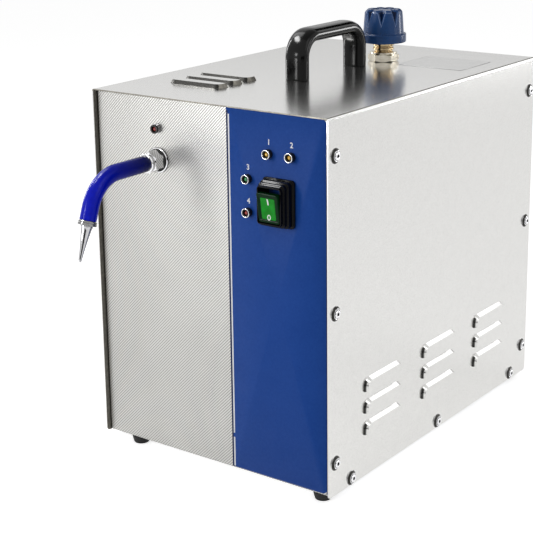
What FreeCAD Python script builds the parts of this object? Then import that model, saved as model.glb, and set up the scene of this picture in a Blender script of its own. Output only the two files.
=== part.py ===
import FreeCAD, Part
import math
import os
from FreeCAD import Vector

# Bench steam cleaner for jewellery, in millimetres.
# While it is built, x = 0 is the middle of the housing, y = 0 the front edge of the cover,
# z = 0 the surface that the feet stand on.  save_all() moves the origin to the middle of
# the footprint.

# ---- housing sheet metal ----
cover_width = 270.0
cover_depth = 390.0
cover_height = 350.0
cover_sheet = 1.2
cover_bend = 2.5
cover_corner = 4.0
panel_sheet = 1.5
panel_bend = 2.0
panel_recess = 5.0
panel_flange = 16.0
panel_fit = 0.3
pan_sheet = 1.5
pan_flange_height = 16.0
pan_fit = 0.3

# ---- feet ----
foot_height = 8.0
foot_top_radius = 9.5
foot_bottom_radius = 7.5
foot_left_inset = 34.0
foot_right_inset = 16.0
foot_end_inset = 14.5
foot_bore = 2.2
foot_counterbore = 4.5
foot_counterbore_depth = 4.5
foot_screw_head = 1.8
foot_screw_gap = 0.5
foot_screw_tail = 2.0

# ---- cover screws and their cup washers ----
screw_inset = 11.0
screw_rows = (32.0, 174.0, 316.0)
low_screw_z = 7.5
low_screw_inset = 37.0
screw_radius = 2.0
screw_hole = 2.3
cup_radius = 7.0
cup_edge = 0.6
cup_height = 2.2
cup_top_radius = 4.9
cup_lip = 0.6
cup_floor = 0.8
screw_head_height = 1.2
screw_recess = 1.7
screw_recess_depth = 1.6
screw_length = 8.0

# ---- louvres ----
louvre_length = 65.0
louvre_height = 13.0
louvre_rise = 3.6
louvre_slope = 2.6
louvre_corner = 9.0
side_louvre_pitch_y = 104.6
side_louvre_pitch_z = 21.3
side_louvre_low_z = 42.0
side_louvre_rows = 3
side_louvre_columns = 3
top_louvre_inset = 73.0
top_louvre_y = 62.0
top_louvre_pitch = 22.5
top_louvre_count = 3

# ---- front overlay ----
overlay_thick = 0.5
overlay_inset = 112.5

# ---- indicator lamps: insets from the cover's right edge, rises over the switch and outlet ----
lamp_row_inset = 41.0
lamp_row_pitch = 24.5
lamp_row_rise = 42.5
lamp_column_inset = 88.6
lamp_column_rise = 17.1
lamp_column_pitch = 30.9
steam_lamp_rise = 30.0
lamp_bezel_radius = 4.3
lamp_bezel_length = 5.6
lamp_bezel_bore = 2.7
lamp_stem_radius = 3.0
lamp_stem_length = 12.0
lamp_lens_radius = 2.5
lamp_lens_edge = 0.8
lamp_nut_flats = 9.0
lamp_nut_thick = 3.0

# ---- rocker switch ----
switch_inset = 54.0
switch_z = 268.5
switch_tiers = ((34.0, 44.0, 3.0), (31.0, 41.0, 6.0), (28.5, 38.5, 4.5), (26.2, 35.0, 3.5))
switch_corner = 3.5
rocker_width = 22.6
rocker_height = 27.0
rocker_depth = 16.5
rocker_reach = 19.5
rocker_pivot_back = 12.5
rocker_tilt = 8.5
rocker_side_gap = 0.35
rocker_end_gap = 0.5
rocker_dish = 2.0
trunnion_radius = 1.8
trunnion_length = 1.2
running_gap = 0.05
switch_neck_wall = 1.4
switch_neck_depth = 9.0
switch_body_depth = 20.0

# ---- steam outlet and spout ----
outlet_inset = 76.0
outlet_z = 289.0
outlet_flange_radius = 12.2
outlet_flange_thick = 2.5
union_shank_radius = 7.0
union_shank_length = 14.0
union_nut_flats = 18.5
union_nut_length = 12.0
spout_seal_radius = 7.2
spout_seal_thick = 3.0
outlet_nut_flats = 19.0
outlet_nut_thick = 5.0
spout_tube_radius = 5.0
spout_tube_wall = 1.2
spout_seat = 10.0
spout_collar_radius = 9.2
spout_collar_length = 4.0
spout_run = 39.0
spout_bend = 38.0
spout_angle = 70.0
spout_drop = 12.0
sleeve_radius = 7.8
ferrule_radius = 8.7
ferrule_length = 4.5
tip_length = 33.0
tip_top_radius = 5.6
tip_end_radius = 1.2
tip_bore = 0.6
join_gap = 0.05
face_gap = 0.1

# ---- carry handle ----
handle_x = 3.0
handle_to_neck = 94.0
handle_spacing = 102.0
handle_rise = 49.0
handle_width = 25.0
handle_thick = 14.0
handle_edge = 5.0
handle_bend = 21.0
handle_screw_radius = 3.0
handle_screw_depth = 16.0
handle_washer_radius = 9.0
handle_washer_thick = 1.6
handle_screw_head = 4.0
handle_screw_head_radius = 5.0
handle_screw_tip_gap = 1.0

# ---- filler neck and its cap ----
neck_x = 11.0
neck_back_inset = 102.0
neck_radius = 11.0
neck_bore = 7.0
neck_rise = 40.0
neck_flange_radius = 16.0
neck_flange_thick = 4.0
neck_nut_flats = 28.0
neck_nut_thick = 8.0
neck_washer_radius = 14.5
neck_washer_thick = 1.5
neck_hole_gap = 0.4
cap_underside = 20.0
cap_rim_radius = 23.6
cap_rim_height = 9.0
cap_crown_radius = 21.2
cap_top_radius = 19.6
cap_height = 34.0
cap_edge = 2.5
cap_rim_edge = 1.5
cap_flute_over = 2.0
cap_flutes = 8
cap_flute_width = 10.0
cap_flute_drop = 16.0
cap_flute_depth = 2.4
cap_flute_turn = 25.0
cap_insert_radius = 15.0
cap_insert_wall = 3.0
cap_insert_inset = 1.0
gasket_thick = 2.5
slip_washer_thick = 0.8

# ---- boiler and what stands on it ----
boiler_radius = 75.0
boiler_bottom = 62.0
boiler_height = 200.0
boiler_rim = 4.0
boiler_wall = 2.0
stand_radius = 48.0
stand_wall = 2.0
stand_foot_width = 12.0
stand_window_width = 34.0
stand_window_inset = 8.0
jacket_thick = 12.0
jacket_gap = 0.3
jacket_inset = 30.0
jacket_port_gap = 3.0
fitting_hole = 6.0
fitting_gap = 0.05
heater_height = 34.0
heater_flange_radius = 26.0
heater_flange_thick = 6.0
heater_boss_radius = 20.0
heater_port_radius = 17.0
heater_rod_radius = 4.0
heater_rod_spread = 10.0
heater_rod_length = 110.0
heater_terminal_length = 14.0
probe_offset = (34.0, -12.0)
probe_rod_radius = 1.5
probe_reach = 120.0
probe_cap_height = 6.0
probe_tail = 14.0
fitting_flats = 17.0
fitting_hex_height = 8.0
valve_offset = (26.0, 26.0)
valve_body_radius = 8.0
valve_body_height = 22.0
valve_stem_radius = 2.5
valve_stem_length = 16.0
valve_knob_radius = 7.0
valve_knob_height = 6.0
pressure_offset = (-16.0, 34.0)
pressure_body_radius = 12.0
pressure_body_height = 24.0
steam_offset = (-36.0, -18.0)

# ---- steam valve, pipes ----
steam_pipe_radius = 4.0
steam_pipe_wall = 1.0
steam_pipe_bend = 14.0
steam_valve_y = 130.0
steam_valve_length = 36.0
steam_valve_width = 26.0
coil_radius = 15.0
coil_height = 34.0
core_radius = 5.0
core_wall = 1.0
core_cap = 2.0
plunger_length = 30.0
drain_pipe_radius = 6.0
drain_pipe_wall = 1.2
drain_pipe_bend = 16.0
drain_height = 30.0

# ---- drain valve on the back ----
drain_body_radius = 11.0
drain_body_length = 20.0
drain_spigot_radius = 5.5
drain_spigot_bore = 3.5
drain_spigot_length = 16.0
drain_boss_radius = 6.0
drain_boss_height = 5.0
drain_stem_radius = 3.0
lever_length = 38.0
lever_width = 9.0
lever_thick = 2.5
grip_length = 18.0
grip_wall = 1.5

# ---- cord glands ----
gland_height = 42.0
gland_insets = (57.0, 97.0)
gland_radius = 9.0
gland_flange_radius = 12.5
gland_flange_thick = 3.0
gland_bore = 3.6
gland_reach = 16.0
gland_tail = 12.0
gland_taper = 4.0
gland_end_wall = 2.0
gland_nut_flats = 24.0
gland_nut_thick = 4.0

# ---- control parts on the base pan ----
board_length = 130.0
board_width = 80.0
board_thick = 1.6
board_inset = 63.0
board_y = 110.0
standoff_radius = 3.5
standoff_height = 10.0
standoff_inset = 6.0
relay_size = (19.0, 28.0, 16.0)
relay_count = 3
relay_gap = 6.0
transformer_inset = 57.0
transformer_y = 100.0
transformer_size = (46.0, 56.0, 48.0)
transformer_coil_size = (60.0, 34.0, 36.0)
transformer_foot = 3.0
transformer_lug = 10.0

# ---- terminal tabs, and the vent slots of the rear panel ----
tab_width = 6.0
tab_thick = 0.8
tab_length = 8.0
slot_width = 5.0
slot_length = 34.0
slot_pitch = 13.0
slot_columns = 9
slot_rows = 2
slot_low_z = 250.0
slot_row_gap = 14.0

# ---- places that follow ----
half_width = cover_width / 2
outlet_x = outlet_inset - half_width
switch_x = half_width - switch_inset
overlay_left = half_width - overlay_inset
top_louvre_x = top_louvre_inset - half_width
board_x = board_inset - half_width
transformer_x = half_width - transformer_inset
gland_places = [inset - half_width for inset in gland_insets]
lamp_row_x = half_width - lamp_row_inset
lamp_column_x = half_width - lamp_column_inset
lamp_row_z = switch_z + lamp_row_rise
lamp_column_z = switch_z + lamp_column_rise
lamp_places = {
    "full": (lamp_row_x - lamp_row_pitch, lamp_row_z),
    "lack": (lamp_row_x, lamp_row_z),
    "reach": (lamp_column_x, lamp_column_z),
    "start": (lamp_column_x, lamp_column_z - lamp_column_pitch),
}
neck_y = cover_depth - neck_back_inset
handle_y = neck_y - handle_to_neck
inner_half = half_width - cover_sheet
base_z = foot_height
top_z = base_z + cover_height
under_top_z = top_z - cover_sheet
panel_front_y = panel_recess
panel_back_y = panel_front_y + panel_sheet
overlay_front_y = panel_front_y - overlay_thick
rear_face_y = cover_depth - panel_recess
rear_inner_y = rear_face_y - panel_sheet
pan_floor_z = base_z + panel_sheet + pan_sheet
boiler_top_z = boiler_bottom + boiler_height
outlet_axis_z = base_z + outlet_z
steam_valve_z = outlet_axis_z
drain_axis_z = drain_height
neck_top_z = top_z + neck_rise
cap_low_z = top_z + cap_underside

hexagon_sides = 6
along_x = Vector(1, 0, 0)
along_y = Vector(0, 1, 0)
up = Vector(0, 0, 1)


# ---- helpers ----
def box(x0, x1, y0, y1, z0, z1):
    return Part.makeBox(x1 - x0, y1 - y0, z1 - z0, Vector(x0, y0, z0))


def rod(centre, direction, radius, length):
    return Part.makeCylinder(radius, length, Vector(*centre), direction)


def tube(centre, direction, outer, inner, length):
    return rod(centre, direction, outer, length).cut(rod(centre, direction, inner, length))


def hexagon(centre, direction, flats, thick):
    """A hexagonal prism, flats apart, from centre along direction."""
    corner = flats / math.sqrt(3)
    points = []
    for step in range(hexagon_sides + 1):
        turn = math.radians(360 / hexagon_sides * step)
        points.append(Vector(corner * math.cos(turn), corner * math.sin(turn), 0))
    prism = Part.Face(Part.makePolygon(points)).extrude(Vector(0, 0, thick))
    prism.Placement = FreeCAD.Placement(Vector(*centre), FreeCAD.Rotation(up, direction))
    return prism


def ring_nut(centre, direction, flats, thick, bore):
    return hexagon(centre, direction, flats, thick).cut(rod(centre, direction, bore, thick))


def lathe(points, centre, direction=up):
    """Turns a closed outline of (radius, height) points about direction through centre."""
    outline = [Vector(radius, 0, height) for radius, height in points]
    outline.append(outline[0])
    turned = Part.Face(Part.makePolygon(outline)).revolve(Vector(0, 0, 0), up, 360)
    turned.Placement = FreeCAD.Placement(Vector(*centre), FreeCAD.Rotation(up, direction))
    return turned


def rounded_plate(x, z, width, height, corner, y0, y1):
    """A plate in the XZ plane with rounded corners, between y0 and y1."""
    plate = box(x - width / 2, x + width / 2, y0, y1, z - height / 2, z + height / 2)
    corners = [edge for edge in plate.Edges if abs(edge.tangentAt(edge.FirstParameter).y) > 0.99]
    return plate.makeFillet(corner, corners)


def soft_path(points, bend):
    """A wire of straight runs joined by tangent arcs of radius bend."""
    corners = [Vector(*point) for point in points]
    edges = []
    start = corners[0]
    for before, corner, after in zip(corners, corners[1:], corners[2:]):
        into = (corner - before).normalize()
        out = (after - corner).normalize()
        turn = into.getAngle(out)
        reach = bend * math.tan(turn / 2)
        first = corner - into * reach
        last = corner + out * reach
        inward = (out - into).normalize()
        middle = corner + inward * (bend / math.cos(turn / 2) - bend)
        edges.append(Part.LineSegment(start, first).toShape())
        edges.append(Part.Arc(first, middle, last).toShape())
        start = last
    edges.append(Part.LineSegment(start, corners[-1]).toShape())
    return Part.Wire(edges)


def swept(path, profile):
    return path.makePipeShell([profile], True, False)


def bent_rod(points, bend, radius):
    """A round bar along points: straight cylinders joined by quarter-or-less torus bends."""
    pieces = []
    for edge in soft_path(points, bend).Edges:
        start = edge.valueAt(edge.FirstParameter)
        heading = edge.tangentAt(edge.FirstParameter)
        if isinstance(edge.Curve, Part.Line):
            pieces.append(Part.makeCylinder(radius, edge.Length, start, heading))
        else:
            leaving = edge.tangentAt(edge.LastParameter)
            disc = Part.Face(Part.Wire([Part.makeCircle(radius, start, heading)]))
            turn = math.degrees(heading.getAngle(leaving))
            pieces.append(disc.revolve(edge.Curve.Center, heading.cross(leaving), turn))
    return fuse_all(pieces)


def pipe(points, bend, outer, inner):
    return bent_rod(points, bend, outer).cut(bent_rod(points, bend, inner))


def both_sides(shape):
    return [shape, shape.mirror(Vector(0, 0, 0), along_x)]


def group(shapes):
    return Part.makeCompound(shapes)


def fuse_all(shapes):
    return shapes[0].fuse(shapes[1:]) if len(shapes) > 1 else shapes[0]


# ---- the cover: an inverted U of sheet with pressed louvres ----
def bent_outline(half, low, high, bend):
    """The U-shaped outside of the cover's sheet, as edges from its left foot to its right."""
    slant = bend * (1 - math.sqrt(0.5))
    left_foot = Vector(-half, 0, low)
    left_knee = Vector(-half, 0, high - bend)
    left_mid = Vector(-half + slant, 0, high - slant)
    left_top = Vector(-half + bend, 0, high)
    right_top = Vector(half - bend, 0, high)
    right_mid = Vector(half - slant, 0, high - slant)
    right_knee = Vector(half, 0, high - bend)
    right_foot = Vector(half, 0, low)
    return [
        Part.LineSegment(left_foot, left_knee).toShape(),
        Part.Arc(left_knee, left_mid, left_top).toShape(),
        Part.LineSegment(left_top, right_top).toShape(),
        Part.Arc(right_top, right_mid, right_knee).toShape(),
        Part.LineSegment(right_knee, right_foot).toShape(),
    ]


def bent_prism(half, low, high, bend, depth):
    edges = bent_outline(half, low, high, bend)
    edges.append(Part.LineSegment(Vector(half, 0, low), Vector(-half, 0, low)).toShape())
    return Part.Face(Part.Wire(edges)).extrude(Vector(0, depth, 0))


def louvre_outline(length, height, corner, lift):
    """A louvre's outline in the XY plane: straight lip on y = 0, rounded corners away from it."""
    half = length / 2
    slant = corner * (1 - math.sqrt(0.5))
    return Part.Wire([
        Part.LineSegment(Vector(-half, 0, lift), Vector(half, 0, lift)).toShape(),
        Part.LineSegment(Vector(half, 0, lift), Vector(half, height - corner, lift)).toShape(),
        Part.Arc(Vector(half, height - corner, lift),
                 Vector(half - slant, height - slant, lift),
                 Vector(half - corner, height, lift)).toShape(),
        Part.LineSegment(Vector(half - corner, height, lift),
                         Vector(corner - half, height, lift)).toShape(),
        Part.Arc(Vector(corner - half, height, lift),
                 Vector(slant - half, height - slant, lift),
                 Vector(-half, height - corner, lift)).toShape(),
        Part.LineSegment(Vector(-half, height - corner, lift), Vector(-half, 0, lift)).toShape(),
    ])


def louvre_block(inset, low, high):
    """The hood as a block: its sides lean in by louvre_slope from lift 0 to louvre_rise."""
    def level(lift):
        lean = inset + louvre_slope * lift / louvre_rise
        return louvre_outline(louvre_length - 2 * lean, louvre_height - lean, louvre_corner - lean, lift)
    return Part.makeLoft([level(low), level(high)], True, True)


def louvre_pair():
    """The outside block of a louvre and the hollow under it, both on the sheet's outer face."""
    hood = louvre_block(0.0, -cover_sheet / 2, louvre_rise)
    hollow = louvre_block(cover_sheet, -2 * cover_sheet, louvre_rise - cover_sheet)
    return hood, hollow


def louvre_places():
    """A placement for each louvre: lips down on the walls, lips to the back on the top."""
    places = []
    first_y = cover_depth / 2 - side_louvre_pitch_y * (side_louvre_columns - 1) / 2
    for column in range(side_louvre_columns):
        for row in range(side_louvre_rows):
            y = first_y + side_louvre_pitch_y * column
            z = base_z + side_louvre_low_z + side_louvre_pitch_z * row
            right = FreeCAD.Rotation(along_y, up, along_x, "ZXY")
            left = FreeCAD.Rotation(Vector(0, -1, 0), up, Vector(-1, 0, 0), "ZXY")
            places.append(FreeCAD.Placement(Vector(half_width, y, z), right))
            places.append(FreeCAD.Placement(Vector(-half_width, y, z), left))
    for row in range(top_louvre_count):
        y = top_louvre_y + louvre_height + top_louvre_pitch * row
        turned = FreeCAD.Rotation(Vector(-1, 0, 0), Vector(0, -1, 0), up, "ZXY")
        places.append(FreeCAD.Placement(Vector(top_louvre_x, y, top_z), turned))
    return places


def screw_places():
    """(y, z) of the screws through each side wall."""
    places = []
    for y in (screw_inset, cover_depth - screw_inset):
        places += [(y, base_z + row) for row in screw_rows]
    for y in (low_screw_inset, cover_depth / 2, cover_depth - low_screw_inset):
        places.append((y, base_z + low_screw_z))
    return places


def handle_feet():
    return [(handle_x, handle_y + side * handle_spacing / 2) for side in (-1, 1)]


def make_cover():
    outer = bent_prism(half_width, base_z, top_z, cover_bend, cover_depth)
    inner = bent_prism(inner_half, base_z, under_top_z, cover_bend - cover_sheet, cover_depth)
    sheet = outer.cut(inner)
    ends = [edge for edge in sheet.Edges
            if abs(edge.Length - cover_sheet) < 1e-6 and abs(edge.CenterOfMass.z - base_z) < 1e-6]
    sheet = sheet.makeFillet(cover_corner, ends)
    hoods = []
    hollows = []
    hood, hollow = louvre_pair()
    for place in louvre_places():
        hoods.append(hood.transformed(place.toMatrix()))
        hollows.append(hollow.transformed(place.toMatrix()))
    holes = []
    for y, z in screw_places():
        holes.append(rod((-half_width, y, z), along_x, screw_hole, cover_width))
    for x, y in handle_feet():
        holes.append(rod((x, y, under_top_z), up, handle_screw_radius + neck_hole_gap, cover_sheet))
    holes.append(rod((neck_x, neck_y, under_top_z), up, neck_radius + neck_hole_gap, cover_sheet))
    return sheet.fuse(hoods).cut(hollows).cut(holes)


# ---- front and rear panels, base pan ----
def tray_panel(face_y, inward):
    """A panel with flanges all round, its face at face_y and its flanges going inward."""
    half = inner_half - panel_fit
    high = under_top_z - panel_fit
    reach = panel_sheet + panel_flange
    block = bent_prism(half, base_z, high, cover_bend, inward * reach)
    block.translate(Vector(0, face_y, 0))
    face_edges = [edge for edge in block.Edges
                  if abs(edge.CenterOfMass.y - face_y) < 1e-6]
    block = block.makeFillet(panel_bend, face_edges)
    low_y = face_y + inward * panel_sheet
    high_y = face_y + inward * (reach + 1)
    hollow = box(-half + panel_sheet, half - panel_sheet, min(low_y, high_y), max(low_y, high_y),
                 base_z + panel_sheet, high - panel_sheet)
    return block.cut(hollow)


def panel_screw_holes():
    return [rod((-half_width, y, z), along_x, screw_hole, cover_width)
            for y, z in screw_places() if z > base_z + pan_flange_height]


def foot_places():
    return [(x, y) for y in (foot_end_inset, cover_depth - foot_end_inset)
            for x in (foot_left_inset - half_width, half_width - foot_right_inset)]


def foot_holes():
    return [rod((x, y, base_z), up, foot_bore, panel_sheet + pan_sheet) for x, y in foot_places()]


def all_lamps():
    """Each lamp's name, place and the y of the face that it stands on."""
    lamps = [(name, x, base_z + z, overlay_front_y) for name, (x, z) in lamp_places.items()]
    lamps.append(("steam", outlet_x, outlet_axis_z + steam_lamp_rise, panel_front_y))
    return lamps


def switch_neck_size():
    width = rocker_width + 2 * (rocker_side_gap + switch_neck_wall)
    height = rocker_window_height() + 2 * switch_neck_wall
    return width, height


def front_holes(y0, y1):
    """What passes through the front sheet between y0 and y1."""
    width, height = switch_neck_size()
    x = switch_x
    z = base_z + switch_z
    holes = [box(x - width / 2 - panel_fit, x + width / 2 + panel_fit, y0, y1,
                 z - height / 2 - panel_fit, z + height / 2 + panel_fit)]
    for name, lamp_x, lamp_z, face in all_lamps():
        holes.append(rod((lamp_x, y0, lamp_z), along_y, lamp_stem_radius + panel_fit, y1 - y0))
    return holes


def make_front_panel():
    holes = front_holes(panel_front_y, panel_back_y)
    holes.append(rod((outlet_x, panel_front_y, outlet_axis_z), along_y,
                     union_shank_radius + panel_fit, panel_sheet))
    return tray_panel(panel_front_y, 1).cut(holes + panel_screw_holes() + foot_holes())


def make_front_overlay():
    right = inner_half - panel_fit - panel_bend
    low = base_z + panel_bend
    high = under_top_z - panel_fit - panel_bend
    sheet = box(overlay_left, right, overlay_front_y, panel_front_y, low, high)
    return sheet.cut(front_holes(overlay_front_y, panel_front_y))


def rear_slots():
    """Two rows of upright vent slots high on the rear panel."""
    slots = []
    for row in range(slot_rows):
        for column in range(slot_columns):
            x = (column - (slot_columns - 1) / 2) * slot_pitch
            z = base_z + slot_low_z + row * (slot_length + slot_row_gap)
            slots.append(box(x - slot_width / 2, x + slot_width / 2, rear_inner_y, rear_face_y,
                             z - slot_length / 2, z + slot_length / 2))
    return slots


def make_rear_panel():
    holes = rear_slots()
    holes.append(rod((neck_x, rear_inner_y, drain_axis_z), along_y,
                     drain_pipe_radius + panel_fit, panel_sheet))
    for x in gland_places:
        holes.append(rod((x, rear_inner_y, base_z + gland_height), along_y,
                         gland_radius + panel_fit, panel_sheet))
    return tray_panel(rear_face_y, -1).cut(holes + panel_screw_holes() + foot_holes())


def make_base_pan():
    half = inner_half - pan_fit
    front = panel_back_y + pan_fit
    back = rear_inner_y - pan_fit
    side = half - panel_sheet - pan_fit
    low = base_z + panel_sheet
    floor = box(-side, side, front, back, low, pan_floor_z)
    clear_front = panel_back_y + panel_flange + pan_fit
    clear_back = rear_inner_y - panel_flange - pan_fit
    wing = box(-half, half, clear_front, clear_back, low, base_z + pan_flange_height)
    hollow = box(-half + pan_sheet, half - pan_sheet, clear_front, clear_back,
                 pan_floor_z, base_z + pan_flange_height)
    holes = [rod((-half_width, y, z), along_x, screw_hole, cover_width)
             for y, z in screw_places() if z < base_z + pan_flange_height]
    return floor.fuse(wing.cut(hollow)).cut(holes + foot_holes())


# ---- feet ----
def make_feet():
    """Tapered rubber feet, counterbored from below for their screws."""
    foot = lathe([
        (foot_counterbore, 0), (foot_bottom_radius, 0), (foot_top_radius, foot_height),
        (foot_bore, foot_height), (foot_bore, foot_counterbore_depth),
        (foot_counterbore, foot_counterbore_depth),
    ], (0, 0, 0))
    return group([foot.translated(Vector(x, y, 0)) for x, y in foot_places()])


def make_foot_screws():
    low = foot_counterbore_depth - foot_screw_head
    high = pan_floor_z + foot_screw_tail
    head = rod((0, 0, low), up, foot_counterbore - foot_screw_gap, foot_screw_head)
    screw = head.fuse(rod((0, 0, low), up, foot_bore - join_gap, high - low))
    return group([screw.translated(Vector(x, y, 0)) for x, y in foot_places()])


# ---- cover screws ----
def make_cup_washers():
    cup = lathe([
        (screw_hole, 0), (cup_radius, 0), (cup_radius, cup_edge), (cup_top_radius, cup_height),
        (cup_top_radius - cup_lip, cup_height), (cup_top_radius - cup_lip, cup_floor),
        (screw_hole, cup_floor),
    ], (0, 0, 0), along_x)
    cups = []
    for y, z in screw_places():
        cups += both_sides(cup.translated(Vector(half_width, y, z)))
    return group(cups)


def make_cover_screws():
    """Cheese-headed screws seated in their cups, with a round drive recess."""
    head_radius = cup_top_radius - cup_lip - join_gap
    head_top = cup_height + screw_head_height
    shank = rod((-screw_length, 0, 0), along_x, screw_radius, screw_length + cup_floor)
    head = rod((cup_floor, 0, 0), along_x, head_radius, head_top - cup_floor)
    recess = rod((head_top - screw_recess_depth, 0, 0), along_x, screw_recess, screw_recess_depth)
    screw = shank.fuse(head).cut(recess)
    screws = []
    for y, z in screw_places():
        screws += both_sides(screw.translated(Vector(half_width, y, z)))
    return group(screws)


# ---- carry handle ----
def make_carry_handle():
    centre_rise = handle_rise - handle_thick / 2
    near, far = [Vector(x, y, top_z) for x, y in handle_feet()]
    path = soft_path([near, near + up * centre_rise, far + up * centre_rise, far], handle_bend)
    half_x = handle_width / 2
    half_y = handle_thick / 2
    section = box(handle_x - half_x, handle_x + half_x, near.y - half_y, near.y + half_y,
                  top_z, top_z + 1)
    section = section.makeFillet(handle_edge, [edge for edge in section.Edges
                                               if abs(edge.tangentAt(edge.FirstParameter).z) > 0.99])
    profile = [face for face in section.Faces if abs(face.CenterOfMass.z - top_z) < 1e-6][0].OuterWire
    bow = swept(path, profile)
    holes = [rod((x, y, top_z), up, handle_screw_radius + join_gap, handle_screw_depth)
             for x, y in handle_feet()]
    return bow.cut(holes)


def make_handle_fixings():
    """A screw up into each foot of the handle, and the washer under the cover's top."""
    fixings = []
    for x, y in handle_feet():
        washer_z = under_top_z - handle_washer_thick
        head_z = washer_z - handle_screw_head
        head = rod((x, y, head_z), up, handle_screw_head_radius, handle_screw_head)
        shank = rod((x, y, head_z), up, handle_screw_radius,
                    top_z + handle_screw_depth - handle_screw_tip_gap - head_z)
        fixings.append(head.fuse(shank))
        fixings.append(tube((x, y, washer_z), up, handle_washer_radius,
                            handle_screw_radius + join_gap, handle_washer_thick))
    return group(fixings)


# ---- filler neck and cap ----
def make_filler_neck():
    low = boiler_top_z
    tail = tube((neck_x, neck_y, low - boiler_wall), up, neck_radius - fitting_gap, neck_bore,
                boiler_wall)
    flange = tube((neck_x, neck_y, low), up, neck_flange_radius, neck_bore, neck_flange_thick)
    barrel = tube((neck_x, neck_y, low), up, neck_radius, neck_bore, neck_top_z - low)
    return fuse_all([tail, flange, barrel])


def make_neck_nuts():
    """One nut above the cover's top and one below it clamp the neck to the sheet."""
    return group([ring_nut((neck_x, neck_y, z), up, neck_nut_flats, neck_nut_thick,
                           neck_radius + join_gap) for z in (top_z, under_top_z - neck_nut_thick)])


def make_neck_washer():
    return tube((neck_x, neck_y, top_z + neck_nut_thick), up, neck_washer_radius,
                neck_radius + join_gap, neck_washer_thick)


def insert_ceiling_z():
    return neck_top_z + gasket_thick + slip_washer_thick


def make_cap_shell():
    """The grip: a rim, a crown that tapers to a chamfered top, and V flutes cut into its shoulder."""
    cap_top_z = cap_low_z + cap_height
    rim_top_z = cap_low_z + cap_rim_height
    inner = cap_insert_radius + join_gap
    ceiling = insert_ceiling_z() + cap_insert_wall
    shell = lathe([
        (inner, cap_low_z), (cap_rim_radius, cap_low_z), (cap_rim_radius, rim_top_z - cap_rim_edge),
        (cap_rim_radius - cap_rim_edge, rim_top_z), (cap_crown_radius, rim_top_z),
        (cap_top_radius, cap_top_z - cap_edge), (cap_top_radius - cap_edge, cap_top_z),
        (0, cap_top_z), (0, ceiling), (inner, ceiling),
    ], (neck_x, neck_y, 0))
    out = cap_top_radius + cap_flute_over
    high = cap_top_z + cap_flute_over
    half = cap_flute_width / 2 * (cap_flute_drop + cap_flute_over) / cap_flute_drop
    flute = tetrahedron([Vector(out, -half, high), Vector(out, half, high),
                         Vector(out, 0, cap_top_z - cap_flute_drop),
                         Vector(cap_top_radius - cap_edge - cap_flute_depth, 0, high)])
    flutes = []
    for step in range(cap_flutes):
        turned = flute.copy()
        turned.rotate(Vector(0, 0, 0), up, cap_flute_turn + 360.0 * step / cap_flutes)
        flutes.append(turned.translated(Vector(neck_x, neck_y, 0)))
    return shell.cut(flutes)


def tetrahedron(points):
    a, b, c, d = points
    faces = [Part.Face(Part.makePolygon([p, q, r, p]))
             for p, q, r in ((a, b, c), (a, b, d), (b, c, d), (c, a, d))]
    return Part.Solid(Part.Shell(faces))


def make_cap_insert():
    low = cap_low_z + cap_insert_inset
    ceiling = insert_ceiling_z()
    return lathe([
        (neck_radius + running_gap, low), (cap_insert_radius, low),
        (cap_insert_radius, ceiling + cap_insert_wall), (0, ceiling + cap_insert_wall),
        (0, ceiling), (neck_radius + running_gap, ceiling),
    ], (neck_x, neck_y, 0))


def make_cap_gasket():
    return tube((neck_x, neck_y, neck_top_z), up, neck_radius - running_gap, neck_bore, gasket_thick)


def make_slip_washer():
    return tube((neck_x, neck_y, neck_top_z + gasket_thick), up, neck_radius - running_gap,
                neck_bore, slip_washer_thick)


# ---- lamps ----
def make_lamp_bezels():
    bezels = []
    for name, x, z, face in all_lamps():
        head = rod((x, face - lamp_bezel_length, z), along_y, lamp_bezel_radius, lamp_bezel_length)
        stem = rod((x, face, z), along_y, lamp_stem_radius, lamp_stem_length)
        eye = rod((x, face - lamp_bezel_length, z), along_y, lamp_bezel_bore, lamp_bezel_length)
        bezels.append(head.fuse(stem).cut(eye))
    return group(bezels)


def make_lens(x, z, face):
    """A lens with a bevelled front that fills the bezel's eye."""
    length = lamp_bezel_length
    return lathe([(0, 0), (lamp_lens_radius, 0), (lamp_lens_radius, length - lamp_lens_edge),
                  (lamp_lens_radius - lamp_lens_edge, length), (0, length)],
                 (x, face, z), Vector(0, -1, 0))


def make_lenses(names):
    return group([make_lens(x, z, face) for name, x, z, face in all_lamps() if name in names])


def make_panel_nuts():
    """The nuts behind the panels, on the lamps, the outlet and the cord glands."""
    nuts = [ring_nut((x, panel_back_y, z), along_y, lamp_nut_flats, lamp_nut_thick,
                     lamp_stem_radius + join_gap) for name, x, z, face in all_lamps()]
    nuts.append(ring_nut((outlet_x, panel_back_y, outlet_axis_z), along_y, outlet_nut_flats,
                         outlet_nut_thick, union_shank_radius + join_gap))
    for x in gland_places:
        nuts.append(ring_nut((x, rear_inner_y - gland_nut_thick, base_z + gland_height), along_y,
                             gland_nut_flats, gland_nut_thick, gland_radius + join_gap))
    return group(nuts)


# ---- rocker switch ----
def rocker_window_height():
    """The switch's window clears the rocker's corners at both ends of its travel."""
    tilt = math.radians(rocker_tilt)
    front_corner = rocker_height / 2 * math.cos(tilt) + rocker_pivot_back * math.sin(tilt)
    return 2 * (front_corner + rocker_end_gap)


def rocker_pivot():
    return Vector(switch_x, panel_front_y - rocker_reach + rocker_pivot_back, base_z + switch_z)


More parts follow.
